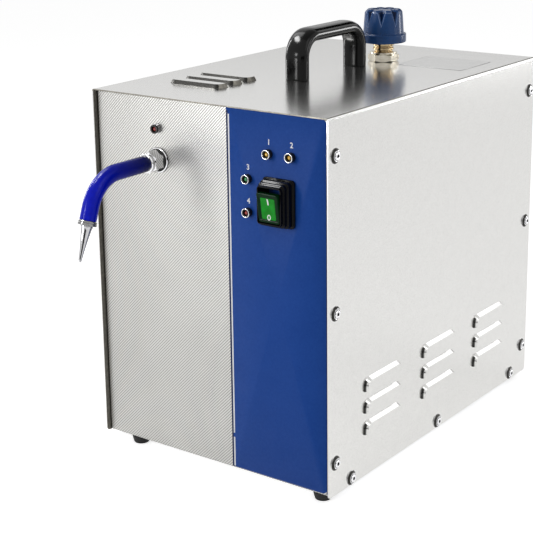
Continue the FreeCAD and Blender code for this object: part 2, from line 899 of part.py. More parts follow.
def make_switch_bezel():
    z = base_z + switch_z
    tiers = []
    y = overlay_front_y
    for width, height, thick in switch_tiers:
        tiers.append(rounded_plate(switch_x, z, width, height, switch_corner, y - thick, y))
        y -= thick
    neck_width, neck_height = switch_neck_size()
    neck = box(switch_x - neck_width / 2, switch_x + neck_width / 2, overlay_front_y,
               overlay_front_y + switch_neck_depth, z - neck_height / 2, z + neck_height / 2)
    window_half = rocker_width / 2 + rocker_side_gap
    window_high = rocker_window_height() / 2
    window = box(switch_x - window_half, switch_x + window_half, y - 1,
                 overlay_front_y + switch_neck_depth, z - window_high, z + window_high)
    pivot = rocker_pivot()
    reach = rocker_width / 2 + rocker_side_gap + trunnion_length
    socket = rod((switch_x - reach, pivot.y, pivot.z), along_x, trunnion_radius + running_gap, 2 * reach)
    return fuse_all(tiers + [neck]).cut([window, socket])


def make_switch_rocker():
    """Drawn level, with its dished face forward, then tilted so that its top stands out."""
    pivot = rocker_pivot()
    half = rocker_height / 2
    front = -rocker_pivot_back
    back = front + rocker_depth
    x0 = switch_x - rocker_width / 2
    outline = [
        Part.Arc(Vector(x0, front, -half), Vector(x0, front + rocker_dish, 0),
                 Vector(x0, front, half)).toShape(),
        Part.LineSegment(Vector(x0, front, half), Vector(x0, back, half * 0.7)).toShape(),
        Part.LineSegment(Vector(x0, back, half * 0.7), Vector(x0, back, -half * 0.7)).toShape(),
        Part.LineSegment(Vector(x0, back, -half * 0.7), Vector(x0, front, -half)).toShape(),
    ]
    body = Part.Face(Part.Wire(outline)).extrude(Vector(rocker_width, 0, 0))
    pin_reach = rocker_width / 2 + rocker_side_gap + trunnion_length - face_gap
    pins = rod((switch_x - pin_reach, 0, 0), along_x, trunnion_radius, 2 * pin_reach)
    rocker = body.fuse(pins)
    rocker.rotate(Vector(0, 0, 0), along_x, rocker_tilt)
    return rocker.translated(Vector(0, pivot.y, pivot.z))


def make_switch_body():
    """The contact block behind the neck, with its tabs."""
    width, height = switch_neck_size()
    z = base_z + switch_z
    y = overlay_front_y + switch_neck_depth
    block = box(switch_x - width / 2, switch_x + width / 2, y, y + switch_body_depth,
                z - height / 2, z + height / 2)
    tabs = []
    for row in (-1, 0, 1):
        for side in (-1, 1):
            x = switch_x + side * width / 4
            tab_z = z + row * height / 3
            tabs.append(box(x - tab_width / 2, x + tab_width / 2,
                            y + switch_body_depth, y + switch_body_depth + tab_length,
                            tab_z - tab_thick / 2, tab_z + tab_thick / 2))
    return fuse_all([block] + tabs)


# ---- steam outlet and spout ----
def make_outlet_union():
    bore = spout_tube_radius + running_gap
    flange = rod((outlet_x, panel_front_y - outlet_flange_thick, outlet_axis_z), along_y,
                 outlet_flange_radius, outlet_flange_thick)
    shank = rod((outlet_x, panel_front_y, outlet_axis_z), along_y, union_shank_radius,
                union_shank_length)
    hole = rod((outlet_x, panel_front_y - outlet_flange_thick, outlet_axis_z), along_y, bore,
               outlet_flange_thick + spout_seat_depth() + face_gap)
    steam_way = rod((outlet_x, panel_front_y, outlet_axis_z), along_y,
                    spout_tube_radius - spout_tube_wall, union_shank_length)
    return flange.fuse(shank).cut([hole, steam_way])


def spout_seat_depth():
    """How far the spout's tube goes in behind the panel's front face."""
    return spout_seat - outlet_flange_thick


def nut_front_y():
    return panel_front_y - outlet_flange_thick - union_nut_length


def seal_y():
    return panel_front_y - outlet_flange_thick - spout_seal_thick


def make_union_nut():
    """The nut that holds the spout, with a pocket at its back for the swivel's seal."""
    nut = ring_nut((outlet_x, nut_front_y(), outlet_axis_z), along_y, union_nut_flats,
                   union_nut_length, spout_tube_radius + running_gap)
    return nut.cut(rod((outlet_x, seal_y(), outlet_axis_z), along_y, spout_seal_radius + join_gap,
                       spout_seal_thick))


def make_spout_seal():
    return tube((outlet_x, seal_y(), outlet_axis_z), along_y, spout_seal_radius,
                spout_tube_radius + running_gap, spout_seal_thick)


def spout_line():
    """Corner points of the spout's centre line, and its direction at the tip."""
    lean = math.radians(spout_angle)
    run_end = nut_front_y() - face_gap - spout_collar_length - spout_run
    down = Vector(0, -math.cos(lean), -math.sin(lean))
    reach = spout_bend * math.tan(lean / 2)
    corner = Vector(outlet_x, run_end - reach, outlet_axis_z)
    return corner, down, corner + down * (reach + spout_drop)


def spout_sweep(start_y, radius, past_end):
    corner, down, end = spout_line()
    points = [Vector(outlet_x, start_y, outlet_axis_z), corner, end + down * past_end]
    return bent_rod(points, spout_bend, radius)


def sleeve_start_y():
    return nut_front_y() - face_gap - spout_collar_length


def make_spout_tube():
    start = panel_front_y + spout_seat_depth()
    outer = spout_sweep(start, spout_tube_radius, ferrule_length)
    inner = spout_sweep(start, spout_tube_radius - spout_tube_wall, ferrule_length)
    return outer.cut(inner)


def make_spout_collar():
    return tube((outlet_x, sleeve_start_y(), outlet_axis_z), along_y, spout_collar_radius,
                spout_tube_radius + join_gap, spout_collar_length)


def make_spout_sleeve():
    outer = spout_sweep(sleeve_start_y(), sleeve_radius, 0)
    return outer.cut(spout_sweep(sleeve_start_y(), spout_tube_radius + join_gap, 0))


def make_nozzle_ferrule():
    corner, down, end = spout_line()
    return tube(end, down, ferrule_radius, spout_tube_radius + join_gap, ferrule_length)


def make_nozzle_tip():
    corner, down, end = spout_line()
    start = end + down * ferrule_length
    bore = spout_tube_radius - spout_tube_wall
    return lathe([(bore, 0), (tip_top_radius, 0), (tip_end_radius, tip_length), (tip_bore, tip_length)],
                 start, down)


# ---- boiler ----
def heater_port_y():
    return neck_y - boiler_radius


def fitting_centre(offset):
    return neck_x + offset[0], neck_y + offset[1]


def make_boiler_shell():
    """A welded can: its two end plates sit boiler_rim in from the ends of its wall."""
    centre_low = (neck_x, neck_y, boiler_bottom - boiler_rim)
    heater_z = boiler_bottom + heater_height
    can = rod(centre_low, up, boiler_radius, boiler_height + 2 * boiler_rim)
    boss = rod((neck_x, heater_port_y() - heater_flange_thick, heater_z), along_y,
               heater_boss_radius, boiler_radius / 2)
    inner = boiler_radius - boiler_wall
    hollows = [
        rod(centre_low, up, inner, boiler_rim),
        rod((neck_x, neck_y, boiler_bottom + boiler_wall), up, inner, boiler_height - 2 * boiler_wall),
        rod((neck_x, neck_y, boiler_top_z), up, inner, boiler_rim),
        rod((neck_x, heater_port_y() - heater_flange_thick, heater_z), along_y,
            heater_port_radius, boiler_radius / 2),
        rod((neck_x, neck_y, boiler_top_z - boiler_wall), up, neck_radius, boiler_wall),
        rod((neck_x, neck_y, boiler_bottom), up, drain_pipe_radius, boiler_wall),
    ]
    x, y = fitting_centre(steam_offset)
    hollows.append(rod((x, y, boiler_top_z - boiler_wall), up, steam_pipe_radius, boiler_wall))
    for offset in (probe_offset, valve_offset, pressure_offset):
        x, y = fitting_centre(offset)
        hollows.append(rod((x, y, boiler_top_z - boiler_wall), up, fitting_hole, boiler_wall))
    return can.fuse(boss).cut(hollows)


def make_boiler_stand():
    low = pan_floor_z
    wall = tube((neck_x, neck_y, low), up, stand_radius, stand_radius - stand_wall,
                boiler_bottom - low)
    foot = tube((neck_x, neck_y, low), up, stand_radius + stand_foot_width, stand_radius - stand_wall,
                stand_wall)
    half = stand_window_width / 2
    windows = []
    for turn in (0, 90):
        window = box(-stand_radius * 2, stand_radius * 2, -half, half, low + stand_window_inset,
                     boiler_bottom - stand_window_inset)
        window.rotate(Vector(0, 0, 0), up, turn)
        windows.append(window.translated(Vector(neck_x, neck_y, 0)))
    return wall.fuse(foot).cut(windows)


def make_boiler_jacket():
    low = boiler_bottom + jacket_inset
    inner = boiler_radius + jacket_gap
    wall = tube((neck_x, neck_y, low), up, inner + jacket_thick, inner,
                boiler_height - 2 * jacket_inset)
    gap = heater_flange_radius + jacket_port_gap
    port = box(neck_x - gap, neck_x + gap, neck_y - inner - jacket_thick, neck_y, low,
               boiler_bottom + heater_height + gap)
    return wall.cut(port)


def make_heater_flange():
    y = heater_port_y() - 2 * heater_flange_thick
    z = boiler_bottom + heater_height
    plate = rod((neck_x, y, z), along_y, heater_flange_radius, heater_flange_thick)
    holes = []
    for side in (-1, 1):
        holes.append(rod((neck_x + side * heater_rod_spread, y, z), along_y,
                         heater_rod_radius + join_gap, heater_flange_thick))
    return plate.cut(holes)


def make_heater_element():
    start = heater_port_y() - 2 * heater_flange_thick - heater_terminal_length
    z = boiler_bottom + heater_height
    far = heater_port_y() + heater_rod_length
    points = [(neck_x - heater_rod_spread, start, z), (neck_x - heater_rod_spread, far, z),
              (neck_x + heater_rod_spread, far, z), (neck_x + heater_rod_spread, start, z)]
    return bent_rod(points, heater_rod_spread - join_gap, heater_rod_radius)


def top_fitting(offset, above):
    """A hexagon seated on the boiler's top with its shank in the hole, and what stands on it."""
    x, y = fitting_centre(offset)
    seat = hexagon((x, y, boiler_top_z), up, fitting_flats, fitting_hex_height)
    shank = rod((x, y, boiler_top_z - boiler_wall), up, fitting_hole - fitting_gap, boiler_wall)
    return fuse_all([seat, shank] + above)


def fitting_top_z():
    return boiler_top_z + fitting_hex_height


def make_level_probe():
    x, y = fitting_centre(probe_offset)
    cap = rod((x, y, fitting_top_z()), up, fitting_hole, probe_cap_height)
    low = boiler_top_z - probe_reach
    needle = rod((x, y, low), up, probe_rod_radius,
                 fitting_top_z() + probe_cap_height + probe_tail - low)
    return top_fitting(probe_offset, [cap, needle])


def valve_top_z():
    return fitting_top_z() + valve_body_height


def make_safety_valve():
    x, y = fitting_centre(valve_offset)
    barrel = rod((x, y, fitting_top_z()), up, valve_body_radius, valve_body_height)
    well = rod((x, y, valve_top_z() - valve_stem_length), up, valve_stem_radius + running_gap,
               valve_stem_length)
    return top_fitting(valve_offset, [barrel]).cut(well)


def make_safety_valve_stem():
    x, y = fitting_centre(valve_offset)
    stem = rod((x, y, valve_top_z() - valve_stem_length + face_gap), up, valve_stem_radius,
               valve_stem_length)
    knob = rod((x, y, valve_top_z() + face_gap), up, valve_knob_radius, valve_knob_height)
    return stem.fuse(knob)


def make_pressure_switch():
    x, y = fitting_centre(pressure_offset)
    head_z = fitting_top_z()
    tab_z = head_z + pressure_body_height
    above = [rod((x, y, head_z), up, pressure_body_radius, pressure_body_height)]
    for side in (-1, 1):
        tab_x = x + side * pressure_body_radius / 2
        above.append(box(tab_x - tab_width / 2, tab_x + tab_width / 2, y - tab_thick / 2,
                         y + tab_thick / 2, tab_z, tab_z + tab_length))
    return top_fitting(pressure_offset, above)


# ---- steam line ----
def make_boiler_steam_pipe():
    x, y = fitting_centre(steam_offset)
    points = [(x, y, boiler_top_z - boiler_wall), (x, y, steam_valve_z),
              (outlet_x, y - (x - outlet_x), steam_valve_z),
              (outlet_x, steam_valve_y + steam_valve_length, steam_valve_z)]
    return pipe(points, steam_pipe_bend, steam_pipe_radius, steam_pipe_radius - steam_pipe_wall)


def make_outlet_steam_pipe():
    start = panel_front_y + union_shank_length
    return tube((outlet_x, start, outlet_axis_z), along_y, steam_pipe_radius,
                steam_pipe_radius - steam_pipe_wall, steam_valve_y - start)


def coil_axis():
    return outlet_x - steam_valve_width / 2, steam_valve_y + steam_valve_length / 2, steam_valve_z


def core_outer_radius():
    return core_radius + running_gap + core_wall


def make_steam_valve_body():
    """The valve block with the core tube that its plunger slides in, pointing to the left wall."""
    half = steam_valve_width / 2
    block = box(outlet_x - half, outlet_x + half, steam_valve_y, steam_valve_y + steam_valve_length,
                steam_valve_z - half, steam_valve_z + half)
    way = rod((outlet_x, steam_valve_y, steam_valve_z), along_y, steam_pipe_radius - steam_pipe_wall,
              steam_valve_length)
    core = rod(coil_axis(), along_x * -1, core_outer_radius(), coil_height + core_cap)
    hollow = rod(coil_axis(), along_x * -1, core_radius + running_gap, coil_height)
    return block.fuse(core).cut([way, hollow])


def make_solenoid_coil():
    return tube(coil_axis(), along_x * -1, coil_radius, core_outer_radius() + join_gap, coil_height)


def make_solenoid_plunger():
    x, y, z = coil_axis()
    return rod((x - face_gap, y, z), along_x * -1, core_radius, plunger_length)


# ---- drain ----
def make_drain_pipe():
    points = [(neck_x, neck_y, boiler_bottom + boiler_wall), (neck_x, neck_y, drain_axis_z),
              (neck_x, rear_face_y, drain_axis_z)]
    radius = drain_pipe_radius - fitting_gap
    return pipe(points, drain_pipe_bend, radius, radius - drain_pipe_wall)


def drain_back_y():
    return rear_face_y + drain_body_length


def drain_stem_y():
    return rear_face_y + drain_body_length / 2


def drain_boss_top_z():
    return drain_axis_z + drain_body_radius + drain_boss_height


def make_drain_valve():
    centre = (neck_x, rear_face_y, drain_axis_z)
    body = hexagon(centre, along_y, 2 * drain_body_radius, drain_body_length)
    boss = rod((neck_x, drain_stem_y(), drain_axis_z), up, drain_boss_radius,
               drain_body_radius + drain_boss_height)
    spigot = rod((neck_x, drain_back_y(), drain_axis_z), along_y, drain_spigot_radius,
                 drain_spigot_length)
    way = rod(centre, along_y, drain_spigot_bore, drain_body_length + drain_spigot_length)
    stem_well = rod((neck_x, drain_stem_y(), drain_axis_z), up, drain_stem_radius + running_gap,
                    drain_body_radius + drain_boss_height)
    return fuse_all([body, boss, spigot]).cut([way, stem_well])


def make_drain_lever():
    low = drain_axis_z + drain_spigot_bore
    arm_z = drain_boss_top_z() + face_gap
    stem = rod((neck_x, drain_stem_y(), low), up, drain_stem_radius, arm_z + lever_thick - low)
    arm = box(neck_x, neck_x + lever_length, drain_stem_y() - lever_width / 2,
              drain_stem_y() + lever_width / 2, arm_z, arm_z + lever_thick)
    hub = rod((neck_x, drain_stem_y(), arm_z), up, lever_width / 2, lever_thick)
    return fuse_all([stem, hub, arm])


def make_lever_grip():
    """A soft sleeve pushed over the end of the drain lever."""
    end = neck_x + lever_length
    arm_z = drain_boss_top_z() + face_gap
    half = lever_width / 2
    outer = box(end - grip_length, end + grip_wall, drain_stem_y() - half - grip_wall,
                drain_stem_y() + half + grip_wall, arm_z - grip_wall, arm_z + lever_thick + grip_wall)
    pocket = box(end - grip_length, end, drain_stem_y() - half, drain_stem_y() + half, arm_z,
                 arm_z + lever_thick)
    return outer.cut(pocket)


# ---- glands ----
def make_cord_glands():
    """Bushes through the rear panel, their flanges outside and their tails tapering to the cord."""
    flange_low = gland_tail + panel_sheet
    flange_high = flange_low + gland_flange_thick
    length = flange_high + gland_reach
    gland = lathe([
        (gland_bore, 0), (gland_radius, 0), (gland_radius, flange_low),
        (gland_flange_radius, flange_low), (gland_flange_radius, flange_high),
        (gland_radius, flange_high), (gland_radius, length - gland_taper),
        (gland_bore + gland_end_wall, length), (gland_bore, length),
    ], (0, rear_inner_y - gland_tail, base_z + gland_height), along_y)
    return group([gland.translated(Vector(x, 0, 0)) for x in gland_places])


# ---- control parts ----
def standoff_places():
    half_x = board_width / 2 - standoff_inset
    half_y = board_length / 2 - standoff_inset
    return [(board_x + side * half_x, board_y + end * half_y) for side in (-1, 1) for end in (-1, 1)]


def make_control_board():
    z = pan_floor_z + standoff_height
    return box(board_x - board_width / 2, board_x + board_width / 2, board_y - board_length / 2,
               board_y + board_length / 2, z, z + board_thick)


def make_standoffs():
    return group([rod((x, y, pan_floor_z), up, standoff_radius, standoff_height)
                  for x, y in standoff_places()])


def make_relays():
    width, length, height = relay_size
    z = pan_floor_z + standoff_height + board_thick
    pitch = length + relay_gap
    first = board_y - pitch * (relay_count - 1) / 2
    return group([box(board_x, board_x + width, first + pitch * row - length / 2,
                      first + pitch * row + length / 2, z, z + height) for row in range(relay_count)])


def transformer_stack():
    width, length, height = transformer_size
    foot = box(transformer_x - width / 2, transformer_x + width / 2,
               transformer_y - length / 2 - transformer_lug, transformer_y + length / 2 + transformer_lug,
               pan_floor_z, pan_floor_z + transformer_foot)
    core = box(transformer_x - width / 2, transformer_x + width / 2,
               transformer_y - length / 2, transformer_y + length / 2, pan_floor_z, pan_floor_z + height)
    return core.fuse(foot)


def transformer_window():
    width, length, height = transformer_coil_size
    z = pan_floor_z + (transformer_size[2] - height) / 2
    return box(transformer_x - width / 2, transformer_x + width / 2, transformer_y - length / 2,
               transformer_y + length / 2, z, z + height)


def make_transformer_core():
    return transformer_stack().cut(transformer_window())


def make_transformer_coil():
    return transformer_window()


def make_parts():
    return {
        "cover": make_cover(),
        "front_panel": make_front_panel(),
        "front_overlay": make_front_overlay(),
        "rear_panel": make_rear_panel(),
        "base_pan": make_base_pan(),
        "feet": make_feet(),
        "foot_screws": make_foot_screws(),
        "cup_washers": make_cup_washers(),
        "cover_screws": make_cover_screws(),
        "carry_handle": make_carry_handle(),
        "handle_fixings": make_handle_fixings(),
        "filler_neck": make_filler_neck(),
        "neck_nuts": make_neck_nuts(),
        "neck_washer": make_neck_washer(),
        "cap_shell": make_cap_shell(),
        "cap_insert": make_cap_insert(),
        "cap_gasket": make_cap_gasket(),
        "cap_slip_washer": make_slip_washer(),
        "lamp_bezels": make_lamp_bezels(),
        "amber_lenses": make_lenses(("full", "lack")),
        "green_lens": make_lenses(("reach",)),
        "red_lenses": make_lenses(("start", "steam")),
        "panel_nuts": make_panel_nuts(),
        "switch_bezel": make_switch_bezel(),
        "switch_rocker": make_switch_rocker(),
        "switch_body": make_switch_body(),
        "outlet_union": make_outlet_union(),
        "union_nut": make_union_nut(),
        "spout_seal": make_spout_seal(),
        "spout_tube": make_spout_tube(),
        "spout_collar": make_spout_collar(),
        "spout_sleeve": make_spout_sleeve(),
        "nozzle_ferrule": make_nozzle_ferrule(),
        "nozzle_tip": make_nozzle_tip(),
        "boiler_shell": make_boiler_shell(),
        "boiler_stand": make_boiler_stand(),
        "boiler_jacket": make_boiler_jacket(),
        "heater_flange": make_heater_flange(),
        "heater_element": make_heater_element(),
        "level_probe": make_level_probe(),
        "safety_valve": make_safety_valve(),
        "safety_valve_stem": make_safety_valve_stem(),
        "pressure_switch": make_pressure_switch(),
        "boiler_steam_pipe": make_boiler_steam_pipe(),
        "outlet_steam_pipe": make_outlet_steam_pipe(),
        "steam_valve_body": make_steam_valve_body(),
        "solenoid_coil": make_solenoid_coil(),
        "solenoid_plunger": make_solenoid_plunger(),
        "drain_pipe": make_drain_pipe(),
        "drain_valve": make_drain_valve(),
        "drain_lever": make_drain_lever(),
        "lever_grip": make_lever_grip(),
        "cord_glands": make_cord_glands(),
        "control_board": make_control_board(),
        "board_standoffs": make_standoffs(),
        "board_relays": make_relays(),
        "transformer_core": make_transformer_core(),
        "transformer_coil": make_transformer_coil(),
    }


def save_all():
    """Writes each piece with the origin at the middle of the footprint."""
    os.makedirs("parts", exist_ok=True)
    parts = make_parts()
    whole = FreeCAD.BoundBox()
    for shape in parts.values():
        whole.add(shape.optimalBoundingBox(False))
    to_origin = Vector(-whole.Center.x, -whole.Center.y, -whole.ZMin)
    for name, shape in parts.items():
        shape.translated(to_origin).exportStep("parts/" + name + ".step")


save_all()
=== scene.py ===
import math
from functools import partial

import bmesh
import bpy
import numpy as np
from mathutils import Matrix, Vector


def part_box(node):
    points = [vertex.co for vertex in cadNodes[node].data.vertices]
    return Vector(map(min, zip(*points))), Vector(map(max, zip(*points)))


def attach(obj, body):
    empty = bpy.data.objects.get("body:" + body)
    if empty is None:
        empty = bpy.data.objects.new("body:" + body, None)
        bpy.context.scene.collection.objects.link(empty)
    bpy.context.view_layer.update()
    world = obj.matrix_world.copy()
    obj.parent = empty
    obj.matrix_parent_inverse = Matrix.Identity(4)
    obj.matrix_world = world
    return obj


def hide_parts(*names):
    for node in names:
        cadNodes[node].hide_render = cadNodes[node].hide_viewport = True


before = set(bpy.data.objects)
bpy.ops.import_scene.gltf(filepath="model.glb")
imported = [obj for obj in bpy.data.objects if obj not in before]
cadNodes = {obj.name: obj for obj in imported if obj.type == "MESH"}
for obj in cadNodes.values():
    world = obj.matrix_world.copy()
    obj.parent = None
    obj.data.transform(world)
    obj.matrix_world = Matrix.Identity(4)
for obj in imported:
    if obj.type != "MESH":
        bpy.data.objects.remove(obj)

scene = bpy.context.scene
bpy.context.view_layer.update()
mm = 0.001
upward, toFront = (0, 0, 1), (0, -1, 0)


def anglesOf(count):
    # That many angles, evenly round a circle.
    return np.linspace(0, 2 * np.pi, count, endpoint=False)


def signedPower(value, power):
    # sign(value) * |value| ^ power
    return np.sign(value) * np.abs(value) ** power


def surface(grid, loopRows=False):
    # Quads between neighbouring rows and columns of points. The columns close on themselves, and
    # the rows do too if loopRows says so.
    rows, columns = grid.shape[:2]
    index = np.arange(rows * columns).reshape(rows, columns)
    low = index if loopRows else index[:-1]
    high = np.roll(index, -1, axis=0) if loopRows else index[1:]
    quads = np.stack([low, np.roll(low, -1, axis=1), np.roll(high, -1, axis=1), high], axis=-1)
    return grid.reshape(-1, 3), quads.reshape(-1, 4)


def joined(shapes):
    # Surfaces put together: the quads of each count on from the points before it.
    starts = np.cumsum([0] + [len(points) for points, quads in shapes[:-1]])
    return (np.concatenate([points for points, quads in shapes]),
            np.concatenate([quads + start for (points, quads), start in zip(shapes, starts)]))


def copiesOf(shape, offsets):
    # The same surface moved by each offset.
    points, quads = shape
    return joined([(points + offset, quads) for offset in offsets])


def softened(points, reach, steps=4, closed=False):
    # Each corner becomes a parabola: (1-t)^2 before + 2t(1-t) corner + t^2 after, where before and
    # after lie reach from the corner, or 45% of the shorter side if that is less.
    points = np.asarray(points, float)
    toBefore = np.roll(points, 1, axis=0) - points
    toAfter = np.roll(points, -1, axis=0) - points
    before, after = (np.linalg.norm(side, axis=1, keepdims=True) for side in (toBefore, toAfter))
    cut = np.minimum(reach, 0.45 * np.minimum(before, after))
    if not closed:
        cut[[0, -1]] = 0
    start = points + toBefore * cut / before
    end = points + toAfter * cut / after
    t = np.linspace(0, 1, steps + 1)[None, :, None]
    arcs = (1 - t) ** 2 * start[:, None] + 2 * t * (1 - t) * points[:, None] + t**2 * end[:, None]
    if closed:
        return arcs.reshape(-1, points.shape[1])
    middle = arcs[1:-1].reshape(-1, points.shape[1])
    return np.concatenate([points[:1], middle, points[-1:]])


def turned(profile, centre, axis, sides, limit=np.inf):
    # Point (i, j) = centre + axis * height i + radius i across the axis at angle j, where the limit
    # at angle j takes over from a larger radius. Profile and limit are in millimetres.
    profile = np.asarray(profile, float) * mm
    axis = np.asarray(axis, float) / np.linalg.norm(axis)
    aside = np.cross([0, 0, 1] if abs(axis[2]) < 0.9 else [0, 1, 0], axis)
    aside /= np.linalg.norm(aside)
    across = np.cross(axis, aside)
    angle = anglesOf(sides)
    radius = np.minimum(profile[:, :1], np.asarray(limit) * mm)
    radius = np.broadcast_to(radius, (len(profile), sides))[..., None]
    ring = np.cos(angle)[:, None] * aside + np.sin(angle)[:, None] * across
    return np.asarray(centre, float) + profile[:, 1, None, None] * axis + radius * ring


def lathe(profile, reach, steps, centre, axis, sides, closed=True):
    # A turned surface from a profile of (radius, height) with softened corners. A closed profile is a
    # ring's section, an open one starts and ends on the axis.
    return surface(turned(softened(profile, reach, steps, closed), centre, axis, sides), closed)


def narrowed(grid, centre, scale):
    # Each point moves to its own scale times its distance from the upright axis through the centre.
    level = centre[:2] + (grid[..., :2] - centre[:2]) * scale[..., None]
    return np.concatenate([level, grid[..., 2:]], axis=-1)


def hexagonLimit(flats, sides):
    # Distance from the middle to a hexagon's edge: half the flats over the cosine of the angle
    # from the nearest flat.
    return flats / 2 / np.cos((anglesOf(sides) + np.pi / 6) % (np.pi / 3) - np.pi / 6)


def hexagonNut(flats, thick, bore, centre, axis, sides=144):
    # A turned blank whose ends are cones of 30 degrees from a seat of 97% of the flats, cut by the
    # hexagon. The bore's edges are cut back by 0.4 mm.
    corner = flats / math.sqrt(3)
    seat = flats / 2 * 0.97
    drop = (corner - seat) * math.tan(math.radians(30))
    slope = np.linspace(0, 1, 9)[:, None]
    lowCone = np.array([seat, 0]) + slope * np.array([corner - seat, drop])
    highCone = lowCone[::-1] * [1, -1] + [0, thick]
    edge = 0.4
    profile = np.concatenate([[[bore, edge], [bore + edge, 0]], lowCone, highCone,
                              [[bore + edge, thick], [bore, thick - edge]]])
    return surface(turned(profile, centre, axis, sides, hexagonLimit(flats, sides)), True)


def roundedRings(halfWidth, halfHeight, corner, steps=6):
    # Rectangles with round corners, one per row: corner centre + corner radius * (cos, sin).
    halfWidth, halfHeight, corner = (np.atleast_1d(v)[:, None, None]
                                     for v in (halfWidth, halfHeight, corner))
    signX = np.array([1, -1, -1, 1])[None, :, None]
    signY = np.array([1, 1, -1, -1])[None, :, None]
    turn = (np.arange(4) * np.pi / 2)[None, :, None] + np.linspace(0, np.pi / 2, steps)
    x = signX * (halfWidth - corner) + corner * np.cos(turn)
    y = signY * (halfHeight - corner) + corner * np.sin(turn)
    return np.stack([x.reshape(len(x), -1), y.reshape(len(y), -1)], axis=-1)


def bentPath(corners, bend, straightSteps, bendSteps):
    # Straight runs joined by tangent arcs in the YZ plane: points and headings along the path.
    corners = np.asarray(corners, float)
    points, headings = [], []
    start = corners[0]
    share = np.linspace(0, 1, straightSteps)[:, None]
    for before, corner, after in zip(corners, corners[1:], corners[2:]):
        into = (corner - before) / np.linalg.norm(corner - before)
        out = (after - corner) / np.linalg.norm(after - corner)
        turn = math.acos(np.clip(into @ out, -1, 1))
        first = corner - into * bend * math.tan(turn / 2)
        inward = np.array([-into[1], into[0]]) * np.sign(into[0] * out[1] - into[1] * out[0])
        angle = np.linspace(0, turn, bendSteps)[:, None]
        points += [start + (first - start) * share,
                   first + bend * (np.sin(angle) * into + (1 - np.cos(angle)) * inward)]
        headings += [np.tile(into, (straightSteps, 1)), np.cos(angle) * into + np.sin(angle) * inward]
        start = corner + out * bend * math.tan(turn / 2)
    points.append(start + (corners[-1] - start) * share)
    headings.append(np.tile(out, (straightSteps, 1)))
    points, headings = np.concatenate(points), np.concatenate(headings)
    apart = np.r_[True, np.linalg.norm(np.diff(points, axis=0), axis=1) > 1e-9]
    return points[apart], headings[apart]


def withEndRows(points, headings, edge):
    # A path with four rows at each end, for the end's face and its round edge: they lie 0, 0, 0.3
    # and 1 times the edge along the path.
    along = np.array([0, 0, 0.3, 1])[:, None] * edge
    points = np.concatenate([points[:1] + headings[:1] * along, points[1:-1],
                             points[-1:] - headings[-1:] * along[::-1]])
    ends = np.repeat(headings[:1], 4, 0), np.repeat(headings[-1:], 4, 0)
    return points, np.concatenate([ends[0], headings[1:-1], ends[1]])


def sweptAlong(x, points, headings, sections):
    # Section (across, out) at each path point: across lies along X, out at right angles to the path.
    out = np.stack([-headings[:, 1], headings[:, 0]], axis=1)
    yz = points[:, None] + sections[..., 1:] * out[:, None]
    return np.concatenate([x + sections[..., :1], yz], axis=-1)


def addMesh(name, mesh, material, body, slotName, replaced=(), sharp=32):
    # A piece at the origin that rides on a body; edges over the sharp angle stay crisp.
    mesh.polygons.foreach_set("use_smooth", np.ones(len(mesh.polygons), bool))
    mesh.set_sharp_from_angle(angle=math.radians(sharp))
    mesh.materials.clear()
    mesh.materials.append(materials[material])
    piece = bpy.data.objects.new(name, mesh)
    scene.collection.objects.link(piece)
    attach(piece, body)
    if replaced:
        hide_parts(*replaced)
    return piece


def addPiece(name, shape, *settings):
    # A piece from points and quads, with its doubles merged and its faces turned outwards.
    points, quads = shape
    mesh = bpy.data.meshes.new(name)
    mesh.from_pydata(points.tolist(), [], quads.tolist())
    cleaned = bmesh.new()
    cleaned.from_mesh(mesh)
    bmesh.ops.remove_doubles(cleaned, verts=cleaned.verts, dist=1e-7)
    bmesh.ops.recalc_face_normals(cleaned, faces=cleaned.faces)
    cleaned.to_mesh(mesh)
    cleaned.free()
    return addMesh(name, mesh, *settings)


def facesOf(mesh):
    # Middles and normals of the mesh's faces, as two arrays.
    middles, normals = np.empty((2, len(mesh.polygons) * 3))
    mesh.polygons.foreach_get("center", middles)
    mesh.polygons.foreach_get("normal", normals)
    return middles.reshape(-1, 3), normals.reshape(-1, 3)


def paintFaces(piece, finishes, choose):
    # Each face takes the finish whose number choose works out from middles and normals; 0 is the
    # piece's own, 1 the first of the finishes given here.
    for finish in finishes:
        piece.data.materials.append(materials[finish])
    piece.data.polygons.foreach_set("material_index", choose(*facesOf(piece.data)).astype(np.int32))


def smoothCopy(node, material, body, slotName, sharp=28):
    # A copy of the solid's mesh with shared corners, so that bends shade smoothly and the faces square
    # to an axis stay flat.
    mesh = bpy.data.meshes.new(node)
    merged = bmesh.new()
    merged.from_mesh(cadNodes[node].data)
    bmesh.ops.remove_doubles(merged, verts=merged.verts, dist=2e-6)
    bmesh.ops.dissolve_limit(merged, angle_limit=0.002, verts=merged.verts, edges=merged.edges)
    bmesh.ops.triangulate(merged, faces=merged.faces)
    merged.to_mesh(mesh)
    merged.free()
    piece = addMesh(node + "Smooth", mesh, material, body, slotName, [node], sharp)
    mesh.polygons.foreach_set("use_smooth", np.abs(facesOf(mesh)[1]).max(axis=1) < 0.9999)
    return piece


def middleOf(node):
    # Half of the lowest plus the highest corner of a node's box.
    low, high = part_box(node)
    return (np.array(low) + np.array(high)) / 2


def fillInputs(tree, node, inputs):
    # Each named or numbered input takes a link from a socket, or a value of its own.
    for key, value in inputs.items():
        if isinstance(value, bpy.types.NodeSocket):
            tree.links.new(value, node.inputs[key])
        else:
            node.inputs[key].default_value = value


def addNode(tree, kind, inputs, **settings):
    # A shader node of this kind with its settings and inputs.
    node = tree.nodes.new("ShaderNode" + kind)
    for name, value in settings.items():
        setattr(node, name, value)
    fillInputs(tree, node, inputs)
    return node


def addMath(tree, operation, first, second=0.0, clamp=False):
    # The operation on one or two numbers or sockets, held between 0 and 1 if clamp says so.
    return addNode(tree, "Math", {0: first, 1: second}, operation=operation, use_clamp=clamp).outputs[0]


